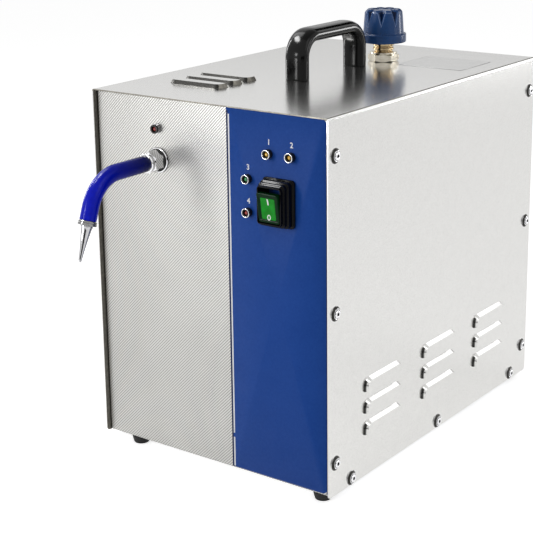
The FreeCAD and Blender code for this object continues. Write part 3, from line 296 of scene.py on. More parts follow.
def addNoise(tree, vector, scale, detail):
    # Noise from 0 to 1 at the vector's place.
    return addNode(tree, "TexNoise", {"Vector": vector, "Scale": scale, "Detail": detail}).outputs["Fac"]


def addMix(tree, share, first, second):
    # Colour from the first to the second by the share.
    return addNode(tree, "Mix", {0: share, 6: first, 7: second}, data_type="RGBA").outputs[2]


def objectPlace(tree):
    # The place on the object, in metres.
    return addNode(tree, "TexCoord", {}).outputs["Object"]


finishInputs = {"Light": "Color", "Dark": "Color", "Smooth": "Float", "Rough": "Float", "Scale": "Float",
                "Stretch": "Vector", "Cloud": "Float"}
finishOutputs = {"Colour": "Color", "Roughness": "Float", "Height": "Float"}


def newGroup(name, *numbers):
    # An empty finish group, with its own numbers beside the inputs that all finishes have.
    group = bpy.data.node_groups.new(name, "ShaderNodeTree")
    sockets = [("INPUT", finishInputs), ("INPUT", dict.fromkeys(numbers, "Float")), ("OUTPUT", finishOutputs)]
    for way, kinds in sockets:
        for label, kind in kinds.items():
            group.interface.new_socket(label, in_out=way, socket_type="NodeSocket" + kind)
    return group, group.nodes.new("NodeGroupInput").outputs, partial(addMath, group)


def stretchedPlace(group, source):
    # Object place times the stretch, axis by axis.
    factors = {0: objectPlace(group), 1: source["Stretch"]}
    return addNode(group, "VectorMath", factors, operation="MULTIPLY").outputs[0]


def closeGroup(group, source, share, height):
    # Colour and roughness run from one end to the other with the share; the height is for a bump.
    ends = {"Value": share, "To Min": source["Rough"], "To Max": source["Smooth"]}
    rough = addNode(group, "MapRange", ends).outputs["Result"]
    colour = addMix(group, share, source["Dark"], source["Light"])
    results = {"Colour": colour, "Roughness": rough, "Height": height}
    fillInputs(group, group.nodes.new("NodeGroupOutput"), results)
    return group


def makeGrainGroup():
    # Mottled grain: fine noise * 1.7 - 0.35, plus (broad noise - 0.5) * cloud.
    group, source, calc = newGroup("mottledGrain")
    place = stretchedPlace(group, source)
    fine = addNoise(group, place, source["Scale"], 3)
    broad = addNoise(group, place, calc("MULTIPLY", source["Scale"], 0.08), 2)
    cloud = calc("MULTIPLY", calc("SUBTRACT", broad, 0.5), source["Cloud"])
    grain = calc("SUBTRACT", calc("MULTIPLY", fine, 1.7), 0.35)
    share = calc("ADD", grain, cloud, clamp=True)
    return closeGroup(group, source, share, fine)


def makeToolGroup():
    # Tool marks of a lathe or a brush: stretched noise * 0.8, plus tarnish of noise * 1.4 - 0.6.
    group, source, calc = newGroup("toolMarks")
    marks = addNoise(group, stretchedPlace(group, source), source["Scale"], 2)
    cloud = addNoise(group, objectPlace(group), 90.0, 3)
    tarnish = calc("SUBTRACT", calc("MULTIPLY", cloud, 1.4), 0.6)
    share = calc("ADD", calc("MULTIPLY", marks, 0.8), tarnish, clamp=True)
    return closeGroup(group, source, share, marks)


def makeEmbossGroup():
    # Embossed ridges: |sin(pi * place along one diagonal / pitch)|, crossed by the other diagonal's
    # ridges as far as a cloud of noise * 3 - 1 and the cross value say; fine grain lies over both.
    group, source, calc = newGroup("embossedRidges", "Pitch", "Cross")
    plain = objectPlace(group)
    parts = addNode(group, "SeparateXYZ", {0: plain}).outputs
    waves = []
    for operation in ("SUBTRACT", "ADD"):
        along = calc(operation, parts["X"], parts["Z"])
        turns = calc("MULTIPLY", along, math.pi / math.sqrt(2))
        turns = calc("DIVIDE", turns, source["Pitch"])
        waves.append(calc("ABSOLUTE", calc("SINE", turns)))
    cloud = calc("MULTIPLY", addNoise(group, plain, 14.0, 2), 3.0)
    crossed = calc("SUBTRACT", cloud, 1.0, clamp=True)
    crossed = calc("MULTIPLY", crossed, source["Cross"])
    second = calc("ADD", calc("MULTIPLY", waves[1], crossed), calc("SUBTRACT", 1.0, crossed))
    height = calc("MULTIPLY", waves[0], second)
    grain = calc("SUBTRACT", addNoise(group, plain, source["Scale"], 2), 0.5)
    share = calc("ADD", calc("POWER", height, 0.8), calc("MULTIPLY", grain, 0.35), clamp=True)
    return closeGroup(group, source, share, height)


finishGroups = {"mottledGrain": makeGrainGroup(), "toolMarks": makeToolGroup(),
                "embossedRidges": makeEmbossGroup()}
materials = {}


def addMaterial(name, group, metallic, light, dark, smooth, rough, scale, bump, others):
    # A finish group's colour, roughness and height feed the shader, and the numbers that are the same
    # all over are set on the shader's own inputs.
    material = bpy.data.materials.new(name)
    material.use_nodes = True
    tree = material.node_tree
    others = {"Stretch": (1, 1, 1), "Cloud": 0.9, "specular": 0.5, "coat": 0.0, **others}
    whole = {"Metallic": metallic, "Specular IOR Level": others.pop("specular"),
             "Coat Weight": others.pop("coat")}
    finish = addNode(tree, "Group", {}, node_tree=finishGroups[group])
    fillInputs(tree, finish, {"Light": (*light, 1), "Dark": (*dark, 1), "Smooth": smooth, "Rough": rough,
                              "Scale": scale, **others})
    shader = tree.nodes["Principled BSDF"]
    varied = {"Base Color": finish.outputs["Colour"], "Roughness": finish.outputs["Roughness"]}
    fillInputs(tree, shader, {**varied, **whole})
    if bump:
        relief = addNode(tree, "Bump", {"Distance": bump, "Height": finish.outputs["Height"]})
        tree.links.new(relief.outputs["Normal"], shader.inputs["Normal"])
    materials[name] = material


def fadeAlong(name, axis, start, end, colour, bothWays=False):
    # Base colour goes over into a second one: share = (place along the axis - start) / (end - start).
    # With bothWays the place loses its sign first, so that both sides fade alike.
    tree = materials[name].node_tree
    along = addNode(tree, "SeparateXYZ", {0: objectPlace(tree)}).outputs[axis]
    if bothWays:
        along = addMath(tree, "ABSOLUTE", along)
    share = addMath(tree, "DIVIDE", addMath(tree, "SUBTRACT", along, start), end - start, clamp=True)
    base = tree.nodes["Principled BSDF"].inputs["Base Color"]
    tree.links.new(addMix(tree, share, base.links[0].from_socket, (*colour, 1)), base)


# Light and dark colour, least and most roughness, grain scale, height of the bump in metres, and what
# else is out of the usual.
grainMetals = {
    "coverSteel": ((0.69, 0.686, 0.672), (0.57, 0.566, 0.552), 0.16, 0.22, 1100, 6e-6, {"Cloud": 0.2}),
    # paintedShadeGrey is painted shade and dark reflection: it greys the cover's inner walls, cut edge, bend
    # starts and top louvre ends.
    "paintedShadeGrey": ((0.24, 0.23, 0.2), (0.15, 0.14, 0.125), 0.35, 0.5, 300, 0, {}),
    # paintedShadeBlack is painted shade and dark reflection: near black in louvre slopes, screw sockets, cup
    # flanks and the union's rim.
    "paintedShadeBlack": ((0.04, 0.039, 0.036), (0.024, 0.0235, 0.022), 0.28, 0.4, 600, 0, {}),
    "slopeSteel": ((0.66, 0.656, 0.64), (0.56, 0.556, 0.54), 0.2, 0.28, 900, 0, {}),
    "plateSteel": ((0.6, 0.598, 0.59), (0.52, 0.518, 0.51), 0.2, 0.3, 900, 0, {"Cloud": 0.2}),
}
toolMetals = {
    "zincSteel": ((0.66, 0.67, 0.68), (0.5, 0.51, 0.53), 0.3, 0.45, 260, 1e-5, {"Stretch": (1, 6, 1)}),
    "brightPlate": ((0.78, 0.78, 0.79), (0.73, 0.73, 0.745), 0.03, 0.06, 1200, 0, {}),
    # tipPaintedReflection and ferrulePaintedReflection are darker copies of brightPlate: painted dark
    # reflection.
    "tipPaintedReflection": ((0.52, 0.52, 0.53), (0.45, 0.45, 0.46), 0.04, 0.08, 1200, 0, {}),
    "ferrulePaintedReflection": ((0.3, 0.3, 0.3), (0.2, 0.2, 0.2), 0.12, 0.2, 1200, 0, {}),
    "neckBrass": ((0.66, 0.53, 0.34), (0.24, 0.17, 0.08), 0.1, 0.24, 900, 1e-5, {"Stretch": (1, 1, 8)}),
    "neckNickel": ((0.7, 0.665, 0.58), (0.44, 0.4, 0.32), 0.1, 0.2, 900, 1e-5, {"Stretch": (1, 1, 8)}),
    "boilerSteel": ((0.68, 0.68, 0.68), (0.5, 0.5, 0.5), 0.24, 0.38, 300, 1e-5, {"Stretch": (1, 1, 7)}),
    "pipeCopper": ((0.83, 0.5, 0.34), (0.6, 0.32, 0.2), 0.2, 0.36, 300, 0, {}),
    "coreIron": ((0.24, 0.24, 0.25), (0.14, 0.14, 0.15), 0.45, 0.6, 700, 3e-5, {"Stretch": (1, 9, 1)}),
}
plainFinishes = {
    "plateBorder": ((0.2, 0.2, 0.2), (0.14, 0.14, 0.14), 0.4, 0.5, 600, 0, {}),
    "overlayBlue": ((0.009, 0.06, 0.3), (0.006, 0.05, 0.26), 0.42, 0.5, 500, 6e-6, {"specular": 0.12}),
    # navyPrintAndShade is the printed navy stripe, and painted shade along the film's right edge.
    "navyPrintAndShade": ((0.004, 0.012, 0.07), (0.003, 0.009, 0.055), 0.4, 0.48, 500, 0, {"specular": 0.2}),
    "printWhite": ((0.86, 0.87, 0.88), (0.8, 0.81, 0.83), 0.42, 0.5, 500, 0, {}),
    "rubberBlack": ((0.03, 0.03, 0.03), (0.016, 0.016, 0.016), 0.6, 0.75, 800, 4e-5, {"specular": 0.25}),
    "handleBlack": ((0.004, 0.004, 0.004), (0.002, 0.002, 0.002), 0.12, 0.17, 60, 0, {"specular": 0.18}),
    "capBlue": ((0.018, 0.066, 0.205), (0.013, 0.048, 0.15), 0.22, 0.3, 900, 6e-6, {"specular": 0.18}),
    # capPaintedShade is painted shade deep in the flutes, capPaintedHighlight a painted highlight along their
    # edges.
    "capPaintedShade": ((0.003, 0.014, 0.055), (0.002, 0.009, 0.038), 0.25, 0.33, 900, 0, {"specular": 0.12}),
    "capPaintedHighlight": ((0.12, 0.2, 0.4), (0.06, 0.12, 0.28), 0.2, 0.28, 900, 0, {}),
    "sleeveBlue": ((0.0006, 0.009, 0.55), (0.0004, 0.006, 0.44), 0.16, 0.24, 300, 0,
                   {"Cloud": 0.2, "specular": 0.13}),
    "siliconeRed": ((0.5, 0.06, 0.04), (0.4, 0.045, 0.03), 0.5, 0.6, 400, 0, {}),
    "sealWhite": ((0.85, 0.85, 0.83), (0.78, 0.78, 0.75), 0.45, 0.55, 400, 0, {}),
    "lampBlack": ((0.012, 0.012, 0.012), (0.007, 0.007, 0.007), 0.2, 0.3, 900, 0, {"specular": 0.3}),
    "lensAmber": ((0.95, 0.64, 0.09), (0.75, 0.34, 0.02), 0.06, 0.12, 900, 0, {"coat": 0.4}),
    "lensGreen": ((0.05, 0.42, 0.15), (0.02, 0.2, 0.06), 0.06, 0.12, 900, 0, {"coat": 0.4}),
    "lensRed": ((0.5, 0.05, 0.035), (0.25, 0.02, 0.015), 0.06, 0.12, 900, 0, {"coat": 0.4}),
    "switchBlack": ((0.004, 0.004, 0.0045), (0.002, 0.002, 0.0025), 0.1, 0.16, 120, 0, {"specular": 0.1}),
    "rockerDark": ((0.002, 0.03, 0.008), (0.001, 0.016, 0.004), 0.06, 0.12, 120, 0, {"specular": 0.06}),
    "rockerGreen": ((0.0, 0.38, 0.016), (0.0, 0.22, 0.006), 0.06, 0.12, 160, 0,
                    {"Cloud": 1.6, "specular": 0.14}),
    "jacketWool": ((0.8, 0.76, 0.62), (0.62, 0.57, 0.44), 0.85, 0.95, 500, 6e-4, {}),
    "glandBlack": ((0.028, 0.028, 0.028), (0.018, 0.018, 0.018), 0.4, 0.52, 900, 1e-5, {}),
    "boardGreen": ((0.03, 0.2, 0.08), (0.02, 0.13, 0.05), 0.3, 0.4, 260, 0, {}),
    "windingTape": ((0.66, 0.52, 0.12), (0.52, 0.39, 0.07), 0.4, 0.5, 300, 2e-5, {}),
}
for finishes, group, metallic in ((grainMetals, "mottledGrain", 1.0), (toolMetals, "toolMarks", 1.0),
                                  (plainFinishes, "mottledGrain", 0.0)):
    for name, values in finishes.items():
        addMaterial(name, group, metallic, *values)
addMaterial("panelSteel", "embossedRidges", 1.0, (0.57, 0.566, 0.55), (0.15, 0.147, 0.135), 0.34, 0.46, 900,
            1e-4, {"Pitch": 0.0021, "Cross": 0.3})
print("materials:", len(materials))

nodeFinishes = {
    "coverSteel": ["cover", "rear_panel"],
    "panelSteel": ["front_panel"],
    "overlayBlue": ["front_overlay"],
    "zincSteel": ["base_pan", "foot_screws", "handle_fixings", "panel_nuts", "boiler_stand", "drain_lever"],
    "brightPlate": ["cup_washers", "cover_screws", "outlet_union", "union_nut", "spout_tube", "spout_collar",
                    "nozzle_ferrule", "nozzle_tip"],
    "rubberBlack": ["feet"],
    "handleBlack": ["carry_handle"],
    "neckBrass": ["filler_neck", "neck_nuts", "neck_washer", "cap_insert", "safety_valve",
                  "safety_valve_stem", "steam_valve_body", "drain_valve"],
    "capBlue": ["cap_shell", "lever_grip"],
    "sleeveBlue": ["spout_sleeve"],
    "siliconeRed": ["cap_gasket"],
    "sealWhite": ["cap_slip_washer", "spout_seal", "board_standoffs"],
    "lampBlack": ["lamp_bezels", "pressure_switch", "solenoid_coil", "board_relays"],
    "lensAmber": ["amber_lenses"],
    "lensGreen": ["green_lens"],
    "lensRed": ["red_lenses"],
    "switchBlack": ["switch_bezel", "switch_body"],
    "rockerGreen": ["switch_rocker"],
    "boilerSteel": ["boiler_shell", "heater_flange", "heater_element", "level_probe", "solenoid_plunger"],
    "jacketWool": ["boiler_jacket"],
    "pipeCopper": ["boiler_steam_pipe", "outlet_steam_pipe", "drain_pipe"],
    "glandBlack": ["cord_glands"],
    "boardGreen": ["control_board"],
    "coreIron": ["transformer_core"],
    "windingTape": ["transformer_coil"],
}
for finish, members in nodeFinishes.items():
    for node in members:
        cadNodes[node].data.materials.clear()
        cadNodes[node].data.materials.append(materials[finish])
print("finished CAD nodes:", sum(len(members) for members in nodeFinishes.values()))

handle = {"width": 25.0, "thick": 14.0, "power": 0.8, "bend": 21.0, "footEdge": 0.8}
low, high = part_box("carry_handle")
halfThick = handle["thick"] * mm / 2
corners = [(low.y + halfThick, low.z), (low.y + halfThick, high.z - halfThick),
           (high.y - halfThick, high.z - halfThick), (high.y - halfThick, low.z)]
points, headings = withEndRows(*bentPath(corners, handle["bend"] * mm, 10, 28), handle["footEdge"] * mm)
# How far each row shrinks to the middle: the end rows close each foot and round its edge.
shrink = np.zeros(len(points))
shrink[:4] = [1, 0.06, 0.02, 0]
shrink[-4:] = shrink[3::-1]
# Section: x = half width * sign(cos) |cos|^power, y = half thickness * sign(sin) |sin|^power.
angle = anglesOf(72)
section = np.stack([handle["width"] / 2 * signedPower(np.cos(angle), handle["power"]),
                    handle["thick"] / 2 * signedPower(np.sin(angle), handle["power"])], 1) * mm
sections = section[None] * (1 - shrink)[:, None, None]
addPiece("carryHandle", surface(sweptAlong((low.x + high.x) / 2, points, headings, sections)), "handleBlack",
         "housing", "handle_black", ["carry_handle"])
print("carry handle")

# Grooves: radius, and height above the washer. Slack: what keeps the nuts and the washer off the neck.
neck = {"radius": 11.0, "bore": 7.0, "foot": 9.0, "mouth": 9.8, "flangeRadius": 16.0, "flangeThick": 4.0,
        "grooves": [(11.0, 0), (10.9, 0.3), (9.2, 1.2), (9.2, 1.9), (11.0, 2.6), (11.0, 4.6), (9.6, 5.3),
                    (9.6, 6.0), (11.0, 6.8)],
        "pitch": 2.0, "threadDepth": 0.9, "threadSlope": 2.6, "threadFlat": 0.1, "threadEnd": 1.0,
        "threadRows": 120, "sides": 96, "slack": 0.05,
        "nutFlats": 28.0, "nutThick": 8.0, "washerRadius": 14.5}
neckMiddle = middleOf("filler_neck")
neckAxis = np.array([neckMiddle[0], neckMiddle[1], 0])
neckLow, neckHigh = (corner.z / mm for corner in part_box("filler_neck"))
capLow, capHigh = (corner.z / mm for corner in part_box("cap_shell"))
washerLow, washerHigh = (corner.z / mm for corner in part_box("neck_washer"))
topZ = (washerLow - neck["nutThick"]) * mm    # the cover's top face
threadLow, threadHigh = capLow + neck["threadEnd"], neckHigh - neck["threadEnd"]
flangeHigh = neckLow + neck["flangeThick"]
foot = [(neck["foot"], neckLow), (neck["flangeRadius"], neckLow), (neck["flangeRadius"], flangeHigh),
        (neck["radius"], flangeHigh)]
grooves = [(radius, washerHigh + rise) for radius, rise in neck["grooves"]]
mouth = [(neck["radius"], threadHigh), (neck["mouth"], neckHigh), (neck["bore"], neckHigh),
         (neck["bore"], neckLow)]
threadRows = np.stack([np.full(neck["threadRows"], neck["radius"]),
                       np.linspace(threadLow, threadHigh, neck["threadRows"])], 1)
outer = np.concatenate([softened([*foot, *grooves, (neck["radius"], threadLow)], 0.35, 3), threadRows,
                        softened(mouth, 0.4, 3)])
heights = outer[:, 1][:, None]
inThread = (outer[:, :1] > neck["radius"] - 0.01) & (heights > threadLow) & (heights < threadHigh)
# Thread: the radius falls by depth * (1 - slope * |phase - 0.5|), where the phase is height over pitch
# less the turn; crests and roots are flat, and it fades in and out over a millimetre at each end.
phase = (heights / neck["pitch"] - anglesOf(neck["sides"])[None] / (2 * np.pi)) % 1
wave = 1 - np.clip(neck["threadSlope"] * np.abs(phase - 0.5), neck["threadFlat"], 1)
fall = neck["threadDepth"] * wave * inThread
fade = np.clip(heights - threadLow, 0, 1) * np.clip(threadHigh - heights, 0, 1)
grid = narrowed(turned(outer, neckAxis, upward, neck["sides"]), neckAxis,
                1 - fall * fade / np.maximum(outer[:, :1], 1))
addPiece("fillerNeck", surface(grid, True), "neckBrass", "housing", "neck_brass", ["filler_neck"])
loose = neck["radius"] + neck["slack"]
nuts = [hexagonNut(neck["nutFlats"], neck["nutThick"], loose, neckAxis + [0, 0, height], upward)
        for height in (topZ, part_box("neck_nuts")[0].z)]
addPiece("neckNuts", joined(nuts), "neckNickel", "housing", "neck_brass", ["neck_nuts"], 24)
washer = [(loose, washerLow), (neck["washerRadius"], washerLow), (neck["washerRadius"], washerHigh),
          (loose, washerHigh)]
addPiece("neckWasher", lathe(washer, 0.5, 4, neckAxis, upward, 72), "neckNickel", "housing", "neck_brass",
         ["neck_washer"])

# Flutes are V grooves that run out fluteDrop below the top; fluteTurn is where the first one stands.
# They stay fluteFoot above the rim and outside fluteInside. Hollow, paintedBand and deepest are depths under
# the crown's cone that pick a face's finish: painted shade deep in a flute and a painted highlight along its
# edges; fluteTop and sideLean leave out the top.
cap = {"rimRadius": 23.6, "rimHeight": 9.0, "crownRadius": 21.2, "topRadius": 19.6, "edge": 2.5,
       "dishRadius": 12.5, "dishEdge": 13.6, "dish": 0.9, "bore": 15.05, "crownRows": 40, "innerRows": 8,
       "sides": 320, "flutes": 8, "fluteDrop": 18.0, "fluteDepth": 5.2, "fluteHalf": 5.2, "fluteTurn": 25.0,
       "fluteBlend": 0.3, "fluteFoot": 2.0, "fluteInside": 13.0, "fluteTop": 1.0, "hollow": 1.7,
       "paintedBand": (0.2, 0.75), "deepest": 6.0, "sideLean": 0.6}
rimTop = capLow + cap["rimHeight"]
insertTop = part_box("cap_insert")[1].z / mm
crown = softened([(0, capHigh - cap["dish"]), (cap["dishRadius"], capHigh - cap["dish"]),
                  (cap["dishEdge"], capHigh), (cap["topRadius"] - cap["edge"], capHigh),
                  (cap["topRadius"], capHigh - cap["edge"]), (cap["crownRadius"], rimTop),
                  (cap["rimRadius"], rimTop), (cap["rimRadius"], capLow), (cap["bore"], capLow),
                  (cap["bore"], insertTop), (0, insertTop)], 1.3, 6)
# More rows down the crown, which is the longest drop of the profile, so that the flutes are smooth.
start = np.argmin(np.diff(crown[:, 1]))
share = np.linspace(0, 1, cap["crownRows"])[1:-1, None]
filled = crown[start] + share * (crown[start + 1] - crown[start])
crown = np.concatenate([crown[:start + 1], filled, crown[start + 1:]])
spacing = 2 * np.pi / cap["flutes"]
fromFlute = anglesOf(cap["sides"]) - math.radians(cap["fluteTurn"])
away = np.abs((fromFlute + spacing / 2) % spacing - spacing / 2) * cap["topRadius"]
# Flute: the radius falls by depth * rise / drop in the middle of the V, less depth / half width for
# each millimetre away from it; a small blend softens the edge of the V.
base, heights = crown[:, :1], crown[:, 1:]
rise = (heights - capHigh + cap["fluteDrop"]) / cap["fluteDrop"]
groove = base - cap["fluteDepth"] * rise + cap["fluteDepth"] / cap["fluteHalf"] * away[None]
blend = np.clip(0.5 + 0.5 * (groove - base) / cap["fluteBlend"], 0, 1)
fluted = groove * (1 - blend) + base * blend - cap["fluteBlend"] * blend * (1 - blend)
outside = np.arange(len(crown))[:, None] < len(crown) - cap["innerRows"]
fluteFoot = rimTop + cap["fluteFoot"]
onCrown = outside & (heights > fluteFoot) & (base > cap["fluteInside"])
radius = np.where(onCrown, np.minimum(fluted, base), base)
grid = narrowed(turned(crown, neckAxis, upward, cap["sides"]), neckAxis, radius / np.maximum(base, 1e-6))
capPiece = addPiece("capShell", surface(grid), "capBlue", "filler_cap", "cap_blue", ["cap_shell"], 22)


def fluteFinish(middles, normals):
    # Painted shade, 1, deep in a flute and a painted highlight, 2, along its edges, by the depth under the
    # cone that flutes are cut from.
    height = middles[:, 2] / mm
    cone = np.interp(height, [rimTop, capHigh - cap["edge"]], [cap["crownRadius"], cap["topRadius"]])
    depth = cone - np.hypot(*(middles[:, :2] - neckAxis[:2]).T) / mm
    side = (height > fluteFoot) & (height < capHigh - cap["fluteTop"])
    side &= (np.abs(normals[:, 2]) < cap["sideLean"]) & (depth < cap["deepest"])
    paintedBand = (depth > cap["paintedBand"][0]) & (depth < cap["paintedBand"][1])
    return np.where(side & (depth > cap["hollow"]), 1, np.where(side & paintedBand, 2, 0))


paintFaces(capPiece, ["capPaintedShade", "capPaintedHighlight"], fluteFinish)
print("filler neck and cap")

# Turned parts are (radius, height) profiles; tube is the radius of the steel tube that carries them.
# The rows at each end of the sleeve have endRadii, which close it on the tube and round its edge.
spout = {"run": 39.0, "bend": 38.0, "angle": 70.0, "drop": 12.0, "sleeve": 7.8, "tube": 5.05, "edge": 0.7,
         "endRadii": (5.05, 7.2, 7.6), "fadeShare": 0.15, "paintedShadeBlue": (0.0003, 0.003, 0.06),
         "ferrule": [(5.05, 0), (8.0, 0), (8.7, 0.5), (8.7, 1.6), (8.2, 2.0), (8.7, 2.4), (8.7, 4.1),
                     (8.2, 4.5), (5.05, 4.5)],
         "ferruleLength": 4.5, "tipStart": [(3.8, 0), (5.6, 0), (5.6, 1.4), (5.1, 2.2)],
         "tipEnd": [(1.35, 32.4), (1.2, 33.0), (0.6, 33.0), (0.6, 31.5)],
         "tipCone": ((5.1, 2.2), (1.4, 32.4)), "tipHollow": 0.35, "tipRows": 14,
         "collar": [(5.05, 0), (7.8, 0), (9.2, 0.6), (9.2, 3.4), (7.8, 4.0), (5.05, 4.0)]}
outlet = middleOf("spout_collar")
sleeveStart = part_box("spout_sleeve")[1].y
lean = math.radians(spout["angle"])
tangent = spout["bend"] * math.tan(lean / 2)
down = np.array([0, -math.cos(lean), -math.sin(lean)])
corner = np.array([outlet[0], sleeveStart - (spout["run"] + tangent) * mm, outlet[2]])
spoutEnd = corner + down * (tangent + spout["drop"]) * mm
path = bentPath([(sleeveStart, outlet[2]), corner[1:], spoutEnd[1:]], spout["bend"] * mm, 8, 40)
rows, headings = withEndRows(*path, spout["edge"] * mm)
radii = np.full(len(rows), spout["sleeve"])
radii[:3] = radii[-1:-4:-1] = spout["endRadii"]
# The sleeve's inside goes back along the same path.
rows = np.concatenate([rows, path[0][::-1]])
headings = np.concatenate([headings, path[1][::-1]])
radii = np.concatenate([radii, np.full(len(path[0]), spout["tube"])])
angle = anglesOf(48)
circle = np.stack([np.cos(angle), np.sin(angle)], 1)[None] * radii[:, None, None] * mm
addPiece("spoutSleeve", surface(sweptAlong(outlet[0], rows, headings, circle), True), "sleeveBlue", "spout",
         "sleeve_blue", ["spout_sleeve"])
nearY, farY = rows[:, 0].max(), rows[:, 0].min()
# The sleeve darkens towards the union at the panel: painted shade.
fadeAlong("sleeveBlue", "Y", farY + spout["fadeShare"] * (nearY - farY), nearY, spout["paintedShadeBlue"])

# The ferrule and the tip are darker than the bright plate: painted dark reflection.
addPiece("nozzleFerrule", lathe(spout["ferrule"], 0.3, 3, spoutEnd, down, 64), "ferrulePaintedReflection", "spout",
         "bright_plate", ["nozzle_ferrule"])
# Tip: a cone between the two ends of tipCone, drawn in by tipHollow * sin of the way along.
slope = np.linspace(0, 1, spout["tipRows"])[1:-1, None]
wide, thin = np.array(spout["tipCone"])
cone = wide + slope * (thin - wide) - np.sin(np.pi * slope) * [spout["tipHollow"], 0]
addPiece("nozzleTip", lathe([*spout["tipStart"], *cone, *spout["tipEnd"]], 0.25, 2,
                            spoutEnd + down * spout["ferruleLength"] * mm, down, 64),
         "tipPaintedReflection", "spout", "bright_plate", ["nozzle_tip"])
collarPlace = (outlet[0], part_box("spout_collar")[1].y, outlet[2])
addPiece("spoutCollar", lathe(spout["collar"], 0.5, 4, collarPlace, toFront, 64), "brightPlate", "spout",
         "bright_plate", ["spout_collar"])

union = {"nutFlats": 18.5, "nutThick": 12.0, "proud": 2.5, "rim": 11.75,
         "flange": [(5.05, -14.0), (7.0, -14.0), (7.0, 0), (12.2, 0), (12.2, 0.7), (11.2, 1.3), (10.4, 1.3),
                    (10.0, 2.5), (5.05, 2.5)],
         "ring": [(9.0, 0.9), (10.9, 0.9), (10.9, 1.9), (10.3, 3.0), (9.0, 3.0)]}
nutPlace = (outlet[0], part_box("union_nut")[1].y, outlet[2])
addPiece("unionNut", hexagonNut(union["nutFlats"], union["nutThick"], spout["tube"], nutPlace, toFront),
         "brightPlate", "housing", "bright_plate", ["union_nut"], 24)
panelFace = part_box("outlet_union")[0].y + union["proud"] * mm
unionPlace = (outlet[0], panelFace, outlet[2])
unionPiece = addPiece("outletUnion", lathe(union["flange"], 0.35, 3, unionPlace, toFront, 72), "brightPlate",
                      "housing", "bright_plate", ["outlet_union"])
# Past the rim radius the flange's edge is painted near black: painted dark reflection.
paintFaces(unionPiece, ["paintedShadeBlack"], lambda middles, normals: np.hypot(
    middles[:, 0] - outlet[0], middles[:, 2] - outlet[2]) > union["rim"] * mm)
addPiece("unionRing", lathe(union["ring"], 0.2, 2, unionPlace, toFront, 72), "rubberBlack", "housing",
         "black_rubber")
print("spout")

lamp = {"lensRadius": 2.5, "sides": 48,
        "barrel": [(2.7, 5.3), (4.15, 5.3), (4.15, 4.7), (3.85, 4.5), (3.85, 4.1), (4.3, 3.9), (4.3, 0.4),
                   (4.1, 0), (3.0, 0), (3.0, -12.0), (2.2, -12.0), (2.2, 2.6), (2.7, 2.6)],
        "rim": [(3.6, 5.3), (4.3, 5.3), (4.3, 5.45), (4.15, 5.6), (3.75, 5.6)],
        "dome": [(0, 4.6), (0.9, 4.45), (1.6, 4.0), (2.0, 3.3), (2.15, 2.6), (2.15, 0.2), (0, 0.2)],
        "bandStarts": (0.6, 2.4), "bandRadii": (4.0, 4.5), "bandWidth": 0.5}
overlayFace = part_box("front_overlay")[0].y
amberLow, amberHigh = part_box("amber_lenses")
redLow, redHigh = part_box("red_lenses")
greenMiddle = middleOf("green_lens")
lensRadius = lamp["lensRadius"] * mm
# The first four lamps stand in the blue field, the last one beside the spout.
lampPlaces = [
    (amberLow.x + lensRadius, overlayFace, amberLow.z + lensRadius),
    (amberHigh.x - lensRadius, overlayFace, amberLow.z + lensRadius),
    (greenMiddle[0], overlayFace, greenMiddle[2]),
    (redHigh.x - lensRadius, overlayFace, redLow.z + lensRadius),
    (redLow.x + lensRadius, panelFace, redHigh.z - lensRadius),
]
barrels = [lathe(lamp["barrel"], 0.2, 2, place, toFront, lamp["sides"]) for place in lampPlaces]
addPiece("lampBarrels", joined(barrels), "lampBlack", "housing", "lamp_black", ["lamp_bezels"])
rims = [lathe(lamp["rim"], 0.08, 2, place, toFront, lamp["sides"]) for place in lampPlaces[:4]]
inner, outer = lamp["bandRadii"]
for start in lamp["bandStarts"]:
    end = start + lamp["bandWidth"]
    band = [(inner, start), (outer, start), (outer, end), (inner, end)]
    rims.append(lathe(band, 0.1, 2, lampPlaces[4], toFront, lamp["sides"]))
addPiece("lampRims", joined(rims), "brightPlate", "housing", "bright_plate")
for piece, node, finish, slotName, places in (
        ("amberLenses", "amber_lenses", "lensAmber", "lens_amber", lampPlaces[:2]),
        ("greenLens", "green_lens", "lensGreen", "lens_green", lampPlaces[2:3]),
        ("redLenses", "red_lenses", "lensRed", "lens_red", lampPlaces[3:])):
    lenses = [lathe(lamp["dome"], 0.4, 3, place, toFront, 32, False) for place in places]
    addPiece(piece, joined(lenses), finish, "housing", slotName, [node], 60)
print("lamps")

# Tiers: half width, half height and how far each step stands out of the panel.
switch = {"tiers": ((17.0, 22.0, 3.0), (15.5, 20.5, 9.0), (14.25, 19.25, 13.5), (13.1, 17.5, 17.0)),
          "window": (11.65, 15.7), "body": (13.05, 17.1), "bodyDepth": 9.0, "corner": 3.5, "innerCorner": 0.6}
rows = []
front = 0.0
for halfWidth, halfHeight, nextFront in switch["tiers"]:
    rows += [(halfWidth, halfHeight, switch["corner"], depth) for depth in (front, nextFront)]
    front = nextFront
rows += [(*size, switch["innerCorner"], depth)
         for size, depth in ((switch["window"], front), (switch["window"], -switch["bodyDepth"]),
                             (switch["body"], -switch["bodyDepth"]), (switch["body"], 0.0))]
rows = softened(rows, 0.7, 1, True)
rings = roundedRings(rows[:, 0], rows[:, 1], rows[:, 2], 7) * mm
switchMiddle = middleOf("switch_bezel")
grid = np.stack([switchMiddle[0] + rings[..., 0],
                 np.broadcast_to(overlayFace - rows[:, 3:] * mm, rings.shape[:2]),
                 switchMiddle[2] + rings[..., 1]], axis=-1)
addPiece("switchHousing", surface(grid, True), "switchBlack", "housing", "switch_black", ["switch_bezel"], 30)

rocker = {"halfWidth": 11.3, "halfHeight": 13.5, "depth": 16.5, "pivotBack": 12.5, "dish": 2.0, "tilt": 8.5,
          "corner": 1.6, "pivot": (81.0, -159.317, 276.5)}
tilt = math.radians(rocker["tilt"])


